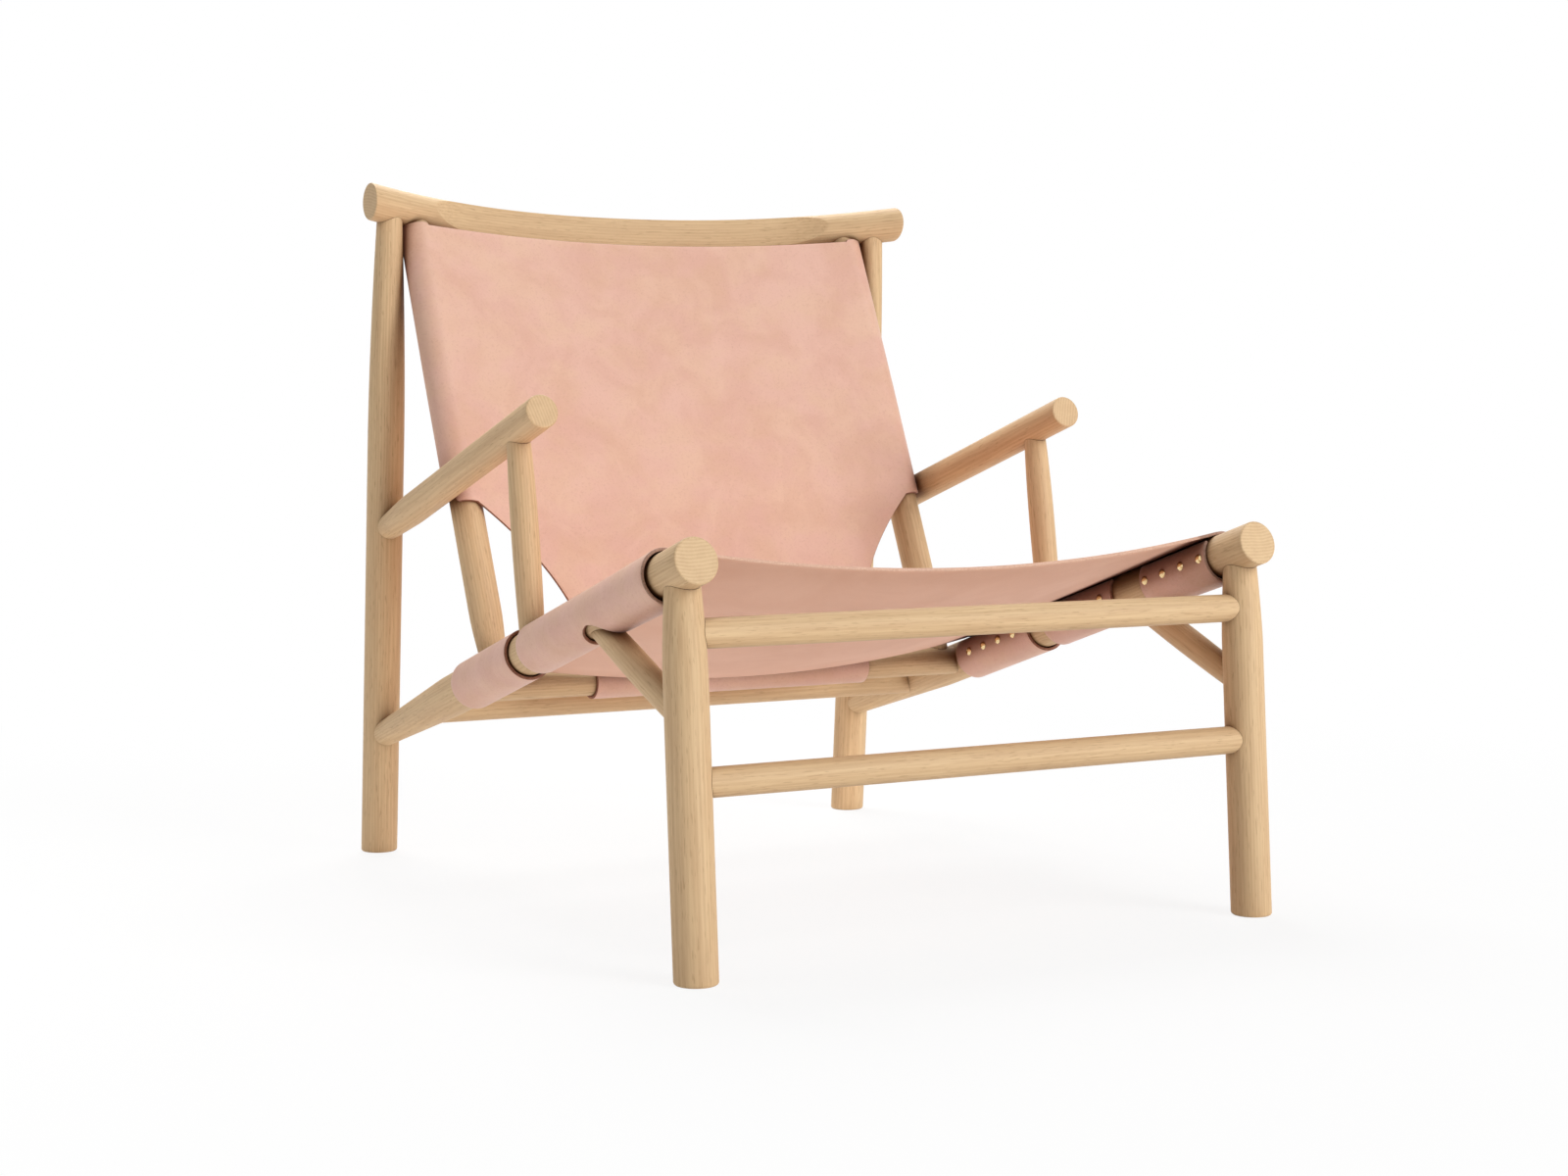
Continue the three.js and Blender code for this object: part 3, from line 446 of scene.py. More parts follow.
class Look:
    """A material made of nodes around one Principled shader."""

    def __init__(self, name):
        self.material = bpy.data.materials.new(name)
        self.material.use_nodes = True
        self.tree = self.material.node_tree
        self.shader = self.tree.nodes["Principled BSDF"]

    def node(self, kind, inputs=(), **settings):
        made = self.tree.nodes.new(kind)
        for key, value in settings.items():
            setattr(made, key, value)
        for key, value in dict(inputs).items():
            self.feed(made.inputs[key], value)
        return made

    def feed(self, socket, value):
        if isinstance(value, bpy.types.NodeSocket):
            self.tree.links.new(value, socket)
        else:
            socket.default_value = value

    def maths(self, operation, a, b=0.0):
        return self.node("ShaderNodeMath", {0: a, 1: b}, operation=operation).outputs[0]

    def scaled(self, vector, scale):
        made = self.node("ShaderNodeVectorMath", {0: vector, 1: scale}, operation="MULTIPLY")
        return made.outputs[0]

    def noise(self, vector, scale, detail=3.0, roughness=0.5, distortion=0.0):
        made = self.node("ShaderNodeTexNoise", {
            "Vector": vector, "Scale": scale, "Detail": detail, "Roughness": roughness,
            "Distortion": distortion})
        return made.outputs["Fac"]

    def span(self, value, low, high, to_low=0.0, to_high=1.0):
        made = self.node("ShaderNodeMapRange", {
            "Value": value, "From Min": low, "From Max": high, "To Min": to_low, "To Max": to_high},
            interpolation_type="SMOOTHSTEP")
        return made.outputs[0]

    def blend(self, share, a, b, mode="MIX"):
        made = self.node("ShaderNodeMix", {0: share, 6: a, 7: b}, data_type="RGBA", blend_type=mode)
        return made.outputs[2]

    def bump(self, height, strength, distance, normal=None):
        inputs = {"Height": height, "Strength": strength, "Distance": distance}
        if normal is not None:
            inputs["Normal"] = normal
        return self.node("ShaderNodeBump", inputs).outputs[0]

    def with_painted_shade(self, base, shade_tint, reach):
        """The base colour with painted shade: darker in corners and joints, where occlusion falls, but not
        where the feet meet the floor.
        """
        # Painted shade: an occlusion node darkens the colour where parts meet and hide each other
        made = self.node("ShaderNodeAmbientOcclusion", {"Distance": reach}, samples=PAINTED_SHADE_SAMPLES)
        place = self.node("ShaderNodeTexCoord").outputs["Object"]
        height = self.node("ShaderNodeSeparateXYZ", {0: place}).outputs["Z"]
        foot = self.span(height, *PAINTED_SHADE_FLOOR, 1.0, 0.0)
        unshaded = self.maths("MAXIMUM", self.span(made.outputs["AO"], *PAINTED_SHADE_SPAN), foot)
        shaded_base = self.blend(1.0, base, shade_tint, "MULTIPLY")
        return self.blend(unshaded, shaded_base, base)

    def set(self, **inputs):
        for key, value in inputs.items():
            self.feed(self.shader.inputs[key.replace("_", " ")], value)


def colour(red, green, blue):
    """Linear colour of an 8-bit screen colour."""
    def linear(c):
        c = c / 255
        return c / 12.92 if c <= 0.04045 else ((c + 0.055) / 1.055) ** 2.4
    return (linear(red), linear(green), linear(blue), 1.0)


# Colours: a pair is the two ends of a fine variation, and a painted shade colour multiplies the others in
# corners and joints
OAK_DEEP = colour(213, 177, 135)
OAK_PALE = colour(230, 198, 154)
OAK_FLECK = colour(166, 122, 84)
# Painted shade: the oak's colour in corners and joints is multiplied by this
OAK_PAINTED_SHADE = (0.24, 0.145, 0.09, 1.0)
OAK_PAINTED_SHADE_REACH = 0.07
HIDE_PALE = (colour(237, 194, 169), colour(237, 191, 172))
HIDE_DEEP = (colour(229, 182, 156), colour(230, 181, 161))
HIDE_SPECK = colour(208, 156, 132)
# Painted shade: the hide's colour in corners and joints is multiplied by this
HIDE_PAINTED_SHADE = (0.34, 0.23, 0.19, 1.0)
HIDE_PAINTED_SHADE_REACH = 0.1
EDGE_PALE = (colour(214, 168, 144), colour(234, 194, 170))
# Painted shade: the cut edge's colour out at the rails, inside the sleeves and along the flaps
EDGE_PAINTED_SHADE = (colour(164, 126, 108), colour(198, 158, 138))
# Partly the cut edge's burnished tone and partly painted shade: its colour behind the seat's front
EDGE_BURNISHED_AND_SHADED = (colour(136, 86, 64), colour(166, 114, 92))
FLESH_OPEN = (colour(245, 199, 175), colour(250, 206, 183))
FLESH_NAP = colour(224, 174, 149)
# Painted shade: the inner side's colour inside the sleeves and in the fold along the rails
FLESH_SHADED_INSIDE = (colour(96, 54, 38), colour(132, 84, 64))
BRASS_BRIGHT = colour(244, 218, 168)
BRASS_DULL = colour(222, 186, 130)

# Growth rings in metres, and how each member's place in the grain moves on from the last one's
RING_WIDTH = 0.0034
RING_DRIFT = 0.005
PITH = (0.16, 0.0, 0.0)
GRAIN_TURN = 2.4
GRAIN_STEP = np.array([0.0013, 0.0007, 0.61])
RAIL_RING_TURN = math.pi / 2
ARM_RING_TURN = 0.25


def oak_look():
    """Pale oak from its own solid grain: straight fibres, faint growth rings and short dark flecks. A cut
    end shows more of the rings and less of the fibres."""
    look = Look("oak")
    grain = look.node("ShaderNodeAttribute", attribute_name="grain").outputs["Vector"]
    cut = look.node("ShaderNodeAttribute", attribute_name="cut_end").outputs["Fac"]
    calm = look.span(cut, 0.0, 1.0, 1.0, 0.3)
    wander = look.noise(look.scaled(grain, (1.0, 1.0, 0.2)), scale=26.0, detail=2.0)
    away = look.node("ShaderNodeVectorMath", {0: grain, 1: PITH}, operation="ADD").outputs[0]
    flat = look.scaled(away, (1.0, 1.0, 0.0))
    distance = look.node("ShaderNodeVectorMath", {0: flat}, operation="LENGTH").outputs["Value"]
    drift = look.maths("MULTIPLY", wander, RING_DRIFT)
    phase = look.maths("DIVIDE", look.maths("ADD", distance, drift), RING_WIDTH)
    ring = look.span(look.maths("PINGPONG", phase, 0.5), 0.0, 0.5)
    ring = look.maths("MULTIPLY", ring, look.span(cut, 0.0, 1.0, 0.10, 0.15))
    fibre = look.noise(look.scaled(grain, (1.0, 1.0, 0.03)), scale=430.0, detail=5.0, roughness=0.62)
    fibre = look.maths("ADD", look.maths("MULTIPLY", look.maths("SUBTRACT", fibre, 0.5), calm), 0.5)
    broad = look.noise(look.scaled(grain, (1.0, 1.0, 0.06)), scale=95.0, detail=3.0, roughness=0.55)
    fleck = look.noise(look.scaled(grain, (1.0, 1.0, 0.085)), scale=760.0, detail=1.0, roughness=0.4)
    fleck = look.maths("MULTIPLY", look.span(fleck, 0.61, 0.73), calm)
    tone = look.maths("ADD", look.maths("MULTIPLY", fibre, 0.62), look.maths("MULTIPLY", broad, 0.28))
    tone = look.maths("ADD", tone, ring)
    base = look.blend(look.span(tone, 0.33, 0.67), OAK_DEEP, OAK_PALE)
    base = look.blend(look.maths("MULTIPLY", fleck, 0.36), base, OAK_FLECK)
    # Painted shade in the oak's corners and joints
    base = look.with_painted_shade(base, OAK_PAINTED_SHADE, OAK_PAINTED_SHADE_REACH)
    height = look.maths("SUBTRACT", look.maths("MULTIPLY", fibre, 0.5), fleck)
    look.set(Base_Color=base, Roughness=look.span(fibre, 0.2, 0.8, 0.5, 0.62),
             Normal=look.bump(height, strength=0.2, distance=0.00012), Specular_IOR_Level=0.3)
    return look.material


def hide_look():
    """Natural hide: faint clouds of pink and tan, fine speckled grain and small pores."""
    look = Look("hide")
    place = look.node("ShaderNodeTexCoord").outputs["Object"]
    cloud = look.noise(place, scale=13.0, detail=5.0, roughness=0.62, distortion=0.6)
    warmth = look.noise(look.scaled(place, (1.0, 1.0, 1.3)), scale=19.0, detail=3.0, roughness=0.6)
    warmth = look.span(warmth, 0.35, 0.65)
    speck = look.noise(place, scale=360.0, detail=4.0, roughness=0.68)
    pale = look.blend(warmth, *HIDE_PALE)
    deep = look.blend(warmth, *HIDE_DEEP)
    base = look.blend(look.span(cloud, 0.34, 0.66), deep, pale)
    base = look.blend(look.span(speck, 0.5, 0.72, 0.0, 0.34), base, HIDE_SPECK)
    # Painted shade in the hide's corners and joints
    base = look.with_painted_shade(base, HIDE_PAINTED_SHADE, HIDE_PAINTED_SHADE_REACH)
    cells = look.node("ShaderNodeTexVoronoi", {"Vector": place, "Scale": 760.0}).outputs["Distance"]
    grain = look.maths("ADD", cells, look.maths("MULTIPLY", speck, 0.8))
    crease = look.noise(place, scale=46.0, detail=4.0, roughness=0.6, distortion=1.4)
    fine = look.bump(grain, strength=0.16, distance=0.0003)
    normal = look.bump(crease, strength=0.08, distance=0.001, normal=fine)
    look.set(Base_Color=base, Roughness=look.span(speck, 0.3, 0.7, 0.44, 0.56), Normal=normal,
             Specular_IOR_Level=0.42, Sheen_Weight=0.08, Sheen_Roughness=0.4)
    return look.material


# How far out from the middle of the chair the hide's cut edge and its inner side are painted dark as shade,
# in metres, and how far behind the front feet all of the cut edge goes darker, partly burnished and partly
# painted shade, in millimetres
EDGE_SHADE = (0.301, 0.309)
FOLD_SHADE = (0.274, 0.303)
EDGE_BURNISHED_AND_SHADED_BEHIND = (80.0, 110.0)


def edge_look():
    """The cut edge of the hide: fibrous, pale along the seat's front, painted dark with shade out at the
    rails, and darker behind the front, partly burnished and partly painted shade.
    """
    look = Look("hide_edge")
    place = look.node("ShaderNodeTexCoord").outputs["Object"]
    axes = look.node("ShaderNodeSeparateXYZ", {0: place}).outputs
    fibre = look.noise(place, scale=700.0, detail=4.0, roughness=0.6)
    shade = look.span(fibre, 0.32, 0.68)
    pale = look.blend(shade, *EDGE_PALE)
    deep = look.blend(shade, *EDGE_PAINTED_SHADE)
    burnished_and_shaded = look.blend(shade, *EDGE_BURNISHED_AND_SHADED)
    # Painted shade: the cut edge goes dark out at the rails
    base = look.blend(look.span(look.maths("ABSOLUTE", axes["X"]), *EDGE_SHADE), pale, deep)
    # Partly burnished tone and partly painted shade behind the seat's front
    behind = [(FRONT_FOOT[1] + y) * MM for y in EDGE_BURNISHED_AND_SHADED_BEHIND]
    base = look.blend(look.span(axes["Y"], *behind), base, burnished_and_shaded)
    look.set(Base_Color=base, Roughness=0.7, Normal=look.bump(fibre, strength=0.3, distance=0.0002))
    return look.material


def flesh_look():
    """The hide's inner side: warmer and napped, and painted dark with shade inside the sleeves and in the
    fold along the rails.
    """
    look = Look("hide_flesh")
    place = look.node("ShaderNodeTexCoord").outputs["Object"]
    side = look.node("ShaderNodeSeparateXYZ", {0: place}).outputs["X"]
    cloud = look.noise(place, scale=11.0, detail=4.0, roughness=0.6, distortion=0.5)
    nap = look.noise(place, scale=520.0, detail=4.0, roughness=0.66)
    open_side = look.blend(look.span(cloud, 0.34, 0.66), *FLESH_OPEN)
    open_side = look.blend(look.span(nap, 0.5, 0.72, 0.0, 0.18), open_side, FLESH_NAP)
    shaded_inside = look.blend(look.span(nap, 0.35, 0.65), *FLESH_SHADED_INSIDE)
    # Painted shade: the inner side goes dark inside the sleeves and in the fold along the rails
    base = look.blend(look.span(look.maths("ABSOLUTE", side), *FOLD_SHADE), open_side, shaded_inside)
    look.set(Base_Color=base, Roughness=0.75, Normal=look.bump(nap, strength=0.2, distance=0.0003),
             Specular_IOR_Level=0.3)
    return look.material


def brass_look():
    """Polished brass with a faint cloud of tarnish."""
    look = Look("brass")
    place = look.node("ShaderNodeTexCoord").outputs["Object"]
    tarnish = look.noise(place, scale=700.0, detail=3.0)
    base = look.blend(look.span(tarnish, 0.35, 0.7), BRASS_BRIGHT, BRASS_DULL)
    look.set(Base_Color=base, Metallic=1.0, Roughness=look.span(tarnish, 0.3, 0.7, 0.12, 0.22))
    return look.material


OAK = oak_look()
BRASS = brass_look()

# The hides' looks, and which of them are the cut edge's and the flesh side's
HIDE_LOOKS = [hide_look(), edge_look(), flesh_look()]
EDGE_PLACE = 1
FLESH_PLACE = 2


# Pieces


def new_piece(name, points, faces, materials, nodes):
    """A mesh piece that rides on the chair and stands for the named nodes."""
    mesh = bpy.data.meshes.new(name)
    mesh.from_pydata(points.tolist(), [], faces)
    mesh.update()
    mesh.polygons.foreach_set("use_smooth", np.ones(len(mesh.polygons), bool))
    mesh.set_sharp_from_angle(angle=SHARP_ANGLE)
    for material in materials:
        mesh.materials.append(material)
    piece = bpy.data.objects.new(name, mesh)
    bpy.context.scene.collection.objects.link(piece)
    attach(piece, "root")
    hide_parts(*nodes)
    return piece


def ring_faces(count):
    """Faces of a skin whose first and last rings are single points and the others have SIDES points."""
    def first(ring):
        return 1 + (ring - 1) * SIDES

    last = first(count - 1)
    faces = []
    for j in range(SIDES):
        k = (j + 1) % SIDES
        faces.append((0, 1 + k, 1 + j))
        for i in range(1, count - 2):
            faces.append((first(i) + j, first(i) + k, first(i + 1) + k, first(i + 1) + j))
        faces.append((last, first(count - 2) + j, first(count - 2) + k))
    return faces


# Points of a member's end face
CAP_POINTS = 1 + (len(CAP_SHARES) - 1) * SIDES

grain_count = 0


def wood_piece(node, shape, rings, flip, ring_turn=None):
    """One turned member. Each gets its own place in the grain, so that no two look alike; ring_turn
    sets which way its growth rings lie."""
    global grain_count
    grain_count += 1
    points = np.concatenate([rings[0][:1], *rings[1:-1], rings[-1][:1]])
    faces = ring_faces(len(rings))
    grain = shape.local(points) * MM
    turn = Matrix.Rotation(GRAIN_TURN * grain_count if ring_turn is None else ring_turn, 3, "Z")
    grain = grain @ np.array(turn) + GRAIN_STEP * grain_count
    if flip:
        points = points * MIRROR
        faces = [face[::-1] for face in faces]
    piece = new_piece(f"{node}_wood", in_frame(points), faces, [OAK], [node])
    held = piece.data.attributes.new("grain", "FLOAT_VECTOR", "POINT")
    held.data.foreach_set("vector", grain.astype(np.float32).ravel())
    ends = np.zeros(len(points), np.float32)
    ends[:CAP_POINTS] = ends[-CAP_POINTS:] = 1.0
    piece.data.attributes.new("cut_end", "FLOAT", "POINT").data.foreach_set("value", ends)


def wood_pair(node, shape, rings, ring_turn=None):
    wood_piece(f"{node}_left", shape, rings, False, ring_turn)
    wood_piece(f"{node}_right", shape, rings, True, ring_turn)


def make_wood():
    wood_pair("rear_post", rear_post, member_rings(
        rear_post, cut_end(rear_post, 0, 1, FOOT_EASE), coped_end(rear_post, crest, rear_post.length, -1)))
    wood_pair("front_leg", front_leg, member_rings(
        front_leg, cut_end(front_leg, 0, 1, FOOT_EASE),
        coped_end(front_leg, side_rail, front_leg.length, -1)))
    wood_pair("side_rail", side_rail, member_rings(
        side_rail, cut_end(side_rail, 0, 1, EDGE_EASE),
        coped_end(side_rail, rear_post, side_rail.length, -1)), RAIL_RING_TURN)
    wood_pair("arm", arm, member_rings(
        arm, coped_end(arm, rear_post, 0, 1), cut_end(arm, arm.length, -1, EDGE_EASE)), ARM_RING_TURN)
    wood_pair("arm_post", arm_post, member_rings(
        arm_post, coped_end(arm_post, side_rail, 0, 1), coped_end(arm_post, arm, arm_post.length, -1)))
    wood_pair("brace", brace, member_rings(
        brace, coped_end(brace, front_leg, 0, 1), coped_end(brace, side_rail, brace.length, -1)))
    wood_pair("back_upright", upright, member_rings(
        upright, coped_end(upright, crossbar, 0, 1), coped_end(upright, crest, upright.length, -1)))
    right = {id(m): mirrored(m) for m in (front_leg, side_rail)}
    bars = (("front_stretcher_upper", upper_stretcher, front_leg),
            ("front_stretcher_lower", lower_stretcher, front_leg),
            ("rear_crossbar", crossbar, side_rail), ("rear_tie_bar", tie_bar, side_rail))
    for node, shape, host in bars:
        wood_piece(node, shape, member_rings(
            shape, coped_end(shape, host, 0, 1),
            coped_end(shape, right[id(host)], shape.length, -1)), False)
    wood_piece("crest_rail", crest, crest_rings(), False)


def mirrored(member):
    """The same member on the other side of the chair."""
    end = member.p + member.way * member.length
    return Member(member.p * MIRROR, end * MIRROR, member.radius, level=member.measure is Z)


CREST_SECTIONS = 120
RUNOUT_SECTIONS = 28


def crest_rings():
    """Rings of the crest rail, from one eased end to the other."""
    half = crest.half
    inner = 1 - EDGE_EASE / CREST_R
    cap = [(half, inner * share) for share in CAP_SHARES]
    for w in np.linspace(math.pi / 2, 0, EASE_STEPS + 1)[:-1]:
        cap.append((half - EDGE_EASE * (1 - math.sin(w)), 1 - (1 - inner) * (1 - math.cos(w))))
    runout = np.linspace(crest.facet_half, crest.facet_half + FACET_RUNOUT, RUNOUT_SECTIONS)
    sections = np.linspace(-half + EDGE_EASE, half - EDGE_EASE, CREST_SECTIONS)
    body = [crest.at(x) for x in np.unique(np.concatenate([sections, runout, -runout]))]
    left = [crest.at(-x, share) for x, share in cap]
    right = [crest.at(x, share) for x, share in cap[::-1]]
    return [*left, *body, *right]


make_wood()


# Sheets of hide


def grid_cells(rows, columns, is_open):
    """Cells of a grid, as (row, column), without the open ones."""
    return [(i, j) for i in range(rows - 1) for j in range(columns - 1) if not is_open(i, j)]


def open_border(quads):
    """The edges of the quads that no second quad shares."""
    ahead = {}
    for quad in quads:
        for a, b in zip(quad, quad[1:] + quad[:1]):
            if a in ahead.get(b, ()):
                ahead[b].discard(a)
            else:
                ahead.setdefault(a, set()).add(b)
    return [(a, b) for a, ends in ahead.items() for b in ends]


def ways_out(points, normals, border):
    """At each border point, the way out of the sheet along its own surface."""
    outward = np.zeros_like(points)
    for a, b in border:
        side = unit(np.cross(points[b] - points[a], normals[a] + normals[b]))
        outward[a] += side
        outward[b] += side
    size = np.linalg.norm(outward, axis=1, keepdims=True)
    return np.divide(outward, size, out=np.zeros_like(outward), where=size > 0)


def sheet_piece(name, middle, facing, cells, node):
    """Thickens a grid of points to a hide with rounded cut edges. Its grain side, its cut edge and its
    flesh side each have their own look."""
    rows, columns = middle.shape[:2]
    index = np.arange(rows * columns).reshape(rows, columns)
    quads = [(index[i, j], index[i, j + 1], index[i + 1, j + 1], index[i + 1, j]) for i, j in cells]
    points = middle.reshape(-1, 3)
    normals = facing.reshape(-1, 3)
    border = open_border(quads)
    outward = ways_out(points, normals, border)
    last = HIDE_EDGE_STEPS
    turns = np.linspace(0, math.pi, last + 1)
    profile = [(math.cos(w) * HIDE / 2, math.sin(w) * HIDE_EDGE_ROUND) for w in turns]
    all_points = []
    place = {}
    for v in sorted({v for quad in quads for v in quad}):
        for level in (0, last):
            place[v, level] = len(all_points)
            all_points.append(points[v] + normals[v] * profile[level][0])
    for v in sorted({v for edge in border for v in edge}):
        for level in range(1, last):
            rise, reach = profile[level]
            place[v, level] = len(all_points)
            all_points.append(points[v] + normals[v] * rise + outward[v] * reach)
    faces = [tuple(place[v, 0] for v in quad) for quad in quads]
    faces += [tuple(place[v, last] for v in quad[::-1]) for quad in quads]
    edge_from = len(faces)
    for a, b in border:
        for level in range(last):
            faces.append((place[a, level], place[a, level + 1], place[b, level + 1], place[b, level]))
    piece = new_piece(name, in_frame(np.array(all_points)), faces, HIDE_LOOKS, [node])
    which = np.zeros(len(faces), np.int32)
    which[len(quads):edge_from] = FLESH_PLACE
    which[edge_from:] = EDGE_PLACE
    piece.data.polygons.foreach_set("material_index", which)


def hammock(radius_at, bar_x, sag, angles, across):
    """Half of a line that wraps a bar from its flap and then hangs: places and facings (across, height)."""
    top = radius_at(90.0)
    lift = math.pi / 2
    for _ in range(LIFT_ROUNDS):
        lift = math.atan2(bar_x - top * math.cos(lift), 2 * sag)
    turns = np.radians(np.append(angles, math.degrees(lift)))
    r = np.array([radius_at(a) for a in np.degrees(turns)])
    wrapped = np.stack([-bar_x + r * np.cos(turns), r * np.sin(turns), np.cos(turns), np.sin(turns)], axis=1)
    edge = -bar_x + top * math.cos(lift)
    floor = top * math.sin(lift) - sag
    steep = 2 * sag * across / edge ** 2
    size = np.hypot(1, steep)
    hung = np.stack([across, floor + sag * (across / edge) ** 2, -steep / size, 1 / size], axis=1)
    return np.concatenate([wrapped, hung])


def both_halves(line):
    other = line[-2::-1] * np.array([-1, 1, -1, 1])
    return np.concatenate([line, other])


def rounding(distance, half):
    """How far a slot's edge moves in towards its middle at a distance from its half-round end."""
    short = 1 - np.clip(np.abs(distance) / half, 0, 1)
    return half * (1 - np.maximum(SLOT_FLAT, np.sqrt(1 - short ** 2)))


def along_rail(station, way, height, radius):
    """Front and rear of a member that crosses the rail axis, at a height over that axis."""
    rise = way @ RAIL_UP
    centre = station + height * (way @ RAIL_WAY) / rise
    return centre - radius / abs(rise), centre + radius / abs(rise)


wrapped_r = RAIL_R + WRAP
leg_way = unit(leg_top - leg_foot)
brace_way = unit(brace_top - brace_foot)
arm_post_way = unit(arm_post_top - arm_post_foot)
arm_post_r = float(arm_post_radius(np.array(wrapped_r)))
SEAT_FRONT = along_rail(FRONT_LEG_STATION, leg_way, -wrapped_r,
                        float(leg_radius(np.array(leg_top[2] - wrapped_r))))[1] + SEAT_LEG_GAP
SEAT_REAR = CROSSBAR_STATION - CROSSBAR_R - WRAP - SEAT_BAR_GAP
BRACE_SLOT = (along_rail(BRACE_STATION, brace_way, -wrapped_r, BRACE_R)[0] - SLOT_EASE,
              along_rail(BRACE_STATION, brace_way, -RAIL_R, BRACE_R)[1] + SLOT_EASE)
POST_SLOT = (along_rail(ARM_POST_STATION, arm_post_way, RAIL_R, arm_post_r)[0] - SLOT_EASE,
             along_rail(ARM_POST_STATION, arm_post_way, RAIL_R, arm_post_r)[1] + SLOT_EASE)
POST_SLOT_INSET = arm_post_r + SLOT_EASE
SEAT_ROW_STEP = 6.0
WRAP_STEP = 2.4
HANG_STEP = 7.0


def seat_sag(s):
    t = (s - SEAT_FRONT) / (SEAT_REAR - SEAT_FRONT)
    return mix(SEAT_SAG_FRONT, SEAT_SAG_REAR, t) + SEAT_SAG_EXTRA * math.sin(math.pi * t)


def sleeve_radius(s):
    """The sleeve is snug on top and at the nails, and stands off the rail's outer face at the front."""
    loose = mix(SLEEVE_LOOSE, SLEEVE_LOOSE_LEAST, float(smooth((s - SEAT_FRONT) / SLEEVE_LOOSE_RUN)))

    def radius(turn):
        swing = np.clip((turn - 90) / 270, 0, 1)
        return RAIL_R + HIDE_EASE + HIDE / 2 + loose * np.sin(math.pi * swing) ** SLEEVE_POWER
    return radius


def spans(a, b, step):
    return np.linspace(a, b, max(2, int(round(abs(b - a) / step)) + 1))


def make_seat():
    slot_end = 270 - BRACE_SLOT_END
    turn_step = math.degrees(WRAP_STEP / wrapped_r)
    low = spans(360 + FLAP_END, slot_end, turn_step)
    angles = np.concatenate([low, spans(slot_end, 90, turn_step)[1:]])
    near = spans(SEAT_HANG_INSET - TRACK / 2, POST_SLOT_INSET - TRACK / 2, WRAP_STEP)
    across = np.concatenate([near, spans(near[-1], 0, HANG_STEP)[1:]])
    brace_end = len(low) - 1
    post_end = len(angles) + len(near)
    flat_half = hammock(sleeve_radius(SEAT_REAR), TRACK / 2, SEAT_SAG_REAR, angles, across)
    arc = np.concatenate([[0], np.cumsum(np.hypot(*np.diff(flat_half[:, :2], axis=0).T))])
    arc = np.concatenate([arc, 2 * arc[-1] - arc[-2::-1]])
    side = np.minimum(np.arange(len(arc)), len(arc) - 1 - np.arange(len(arc)))
    brace_round = rounding(arc[side] - arc[brace_end], (BRACE_SLOT[1] - BRACE_SLOT[0]) / 2)
    post_round = rounding(arc[side] - arc[post_end], (POST_SLOT[1] - POST_SLOT[0]) / 2)
    zero = np.zeros(len(arc))
    lines = [SEAT_FRONT + zero, BRACE_SLOT[0] + brace_round, BRACE_SLOT[1] - brace_round,
             POST_SLOT[0] + post_round, POST_SLOT[1] - post_round, SEAT_REAR + zero]
    stations = []
    strip_of = []
    for strip, (a, b) in enumerate(zip(lines, lines[1:])):
        steps = spans(0, 1, SEAT_ROW_STEP / abs(b[len(b) // 2] - a[len(a) // 2]))
        stations += [mix(a, b, t) for t in steps[:-1]]
        strip_of += [strip] * (len(steps) - 1)
    stations.append(lines[-1])
    middle = []
    facing = []
    for row in stations:
        s = row[len(row) // 2]
        line = both_halves(hammock(sleeve_radius(s), TRACK / 2, seat_sag(s), angles, across))
        points = np.outer(row, RAIL_WAY) + RAIL_FRONT * (Y + Z) + np.outer(line[:, 1], RAIL_UP)
        points = points + np.outer(line[:, 0], X)
        out = np.outer(line[:, 2], X) + np.outer(line[:, 3], RAIL_UP)
        middle.append(points)
        facing.append(out)
    middle = np.array(middle)
    facing = np.array(facing)

    def is_open(i, j):
        inset = min(j, len(arc) - 2 - j)
        return (strip_of[i] == 1 and inset < brace_end) or (strip_of[i] == 3 and inset < post_end)

    cells = grid_cells(len(stations), len(arc), is_open)
    sheet_piece("seat_hide", middle, facing, cells, "seat_sling")


BACK_UP = unit(upright_top - upright_foot)
BACK_OUT = np.array([0.0, -BACK_UP[2], BACK_UP[1]])
BACK_TOP = upright_length - BACK_TOP_GAP
TAB_R = CROSSBAR_R + HIDE_EASE + HIDE / 2
BACK_OVER_ARM = (crossing(upright_foot, BACK_UP, arm_rear, RAIL_WAY)
                 + ARM_R / abs(RAIL_WAY @ BACK_OUT) + BACK_ARM_GAP)
BACK_ROW_STEP = 7.0
TAB_ROW_STEP = 4.0


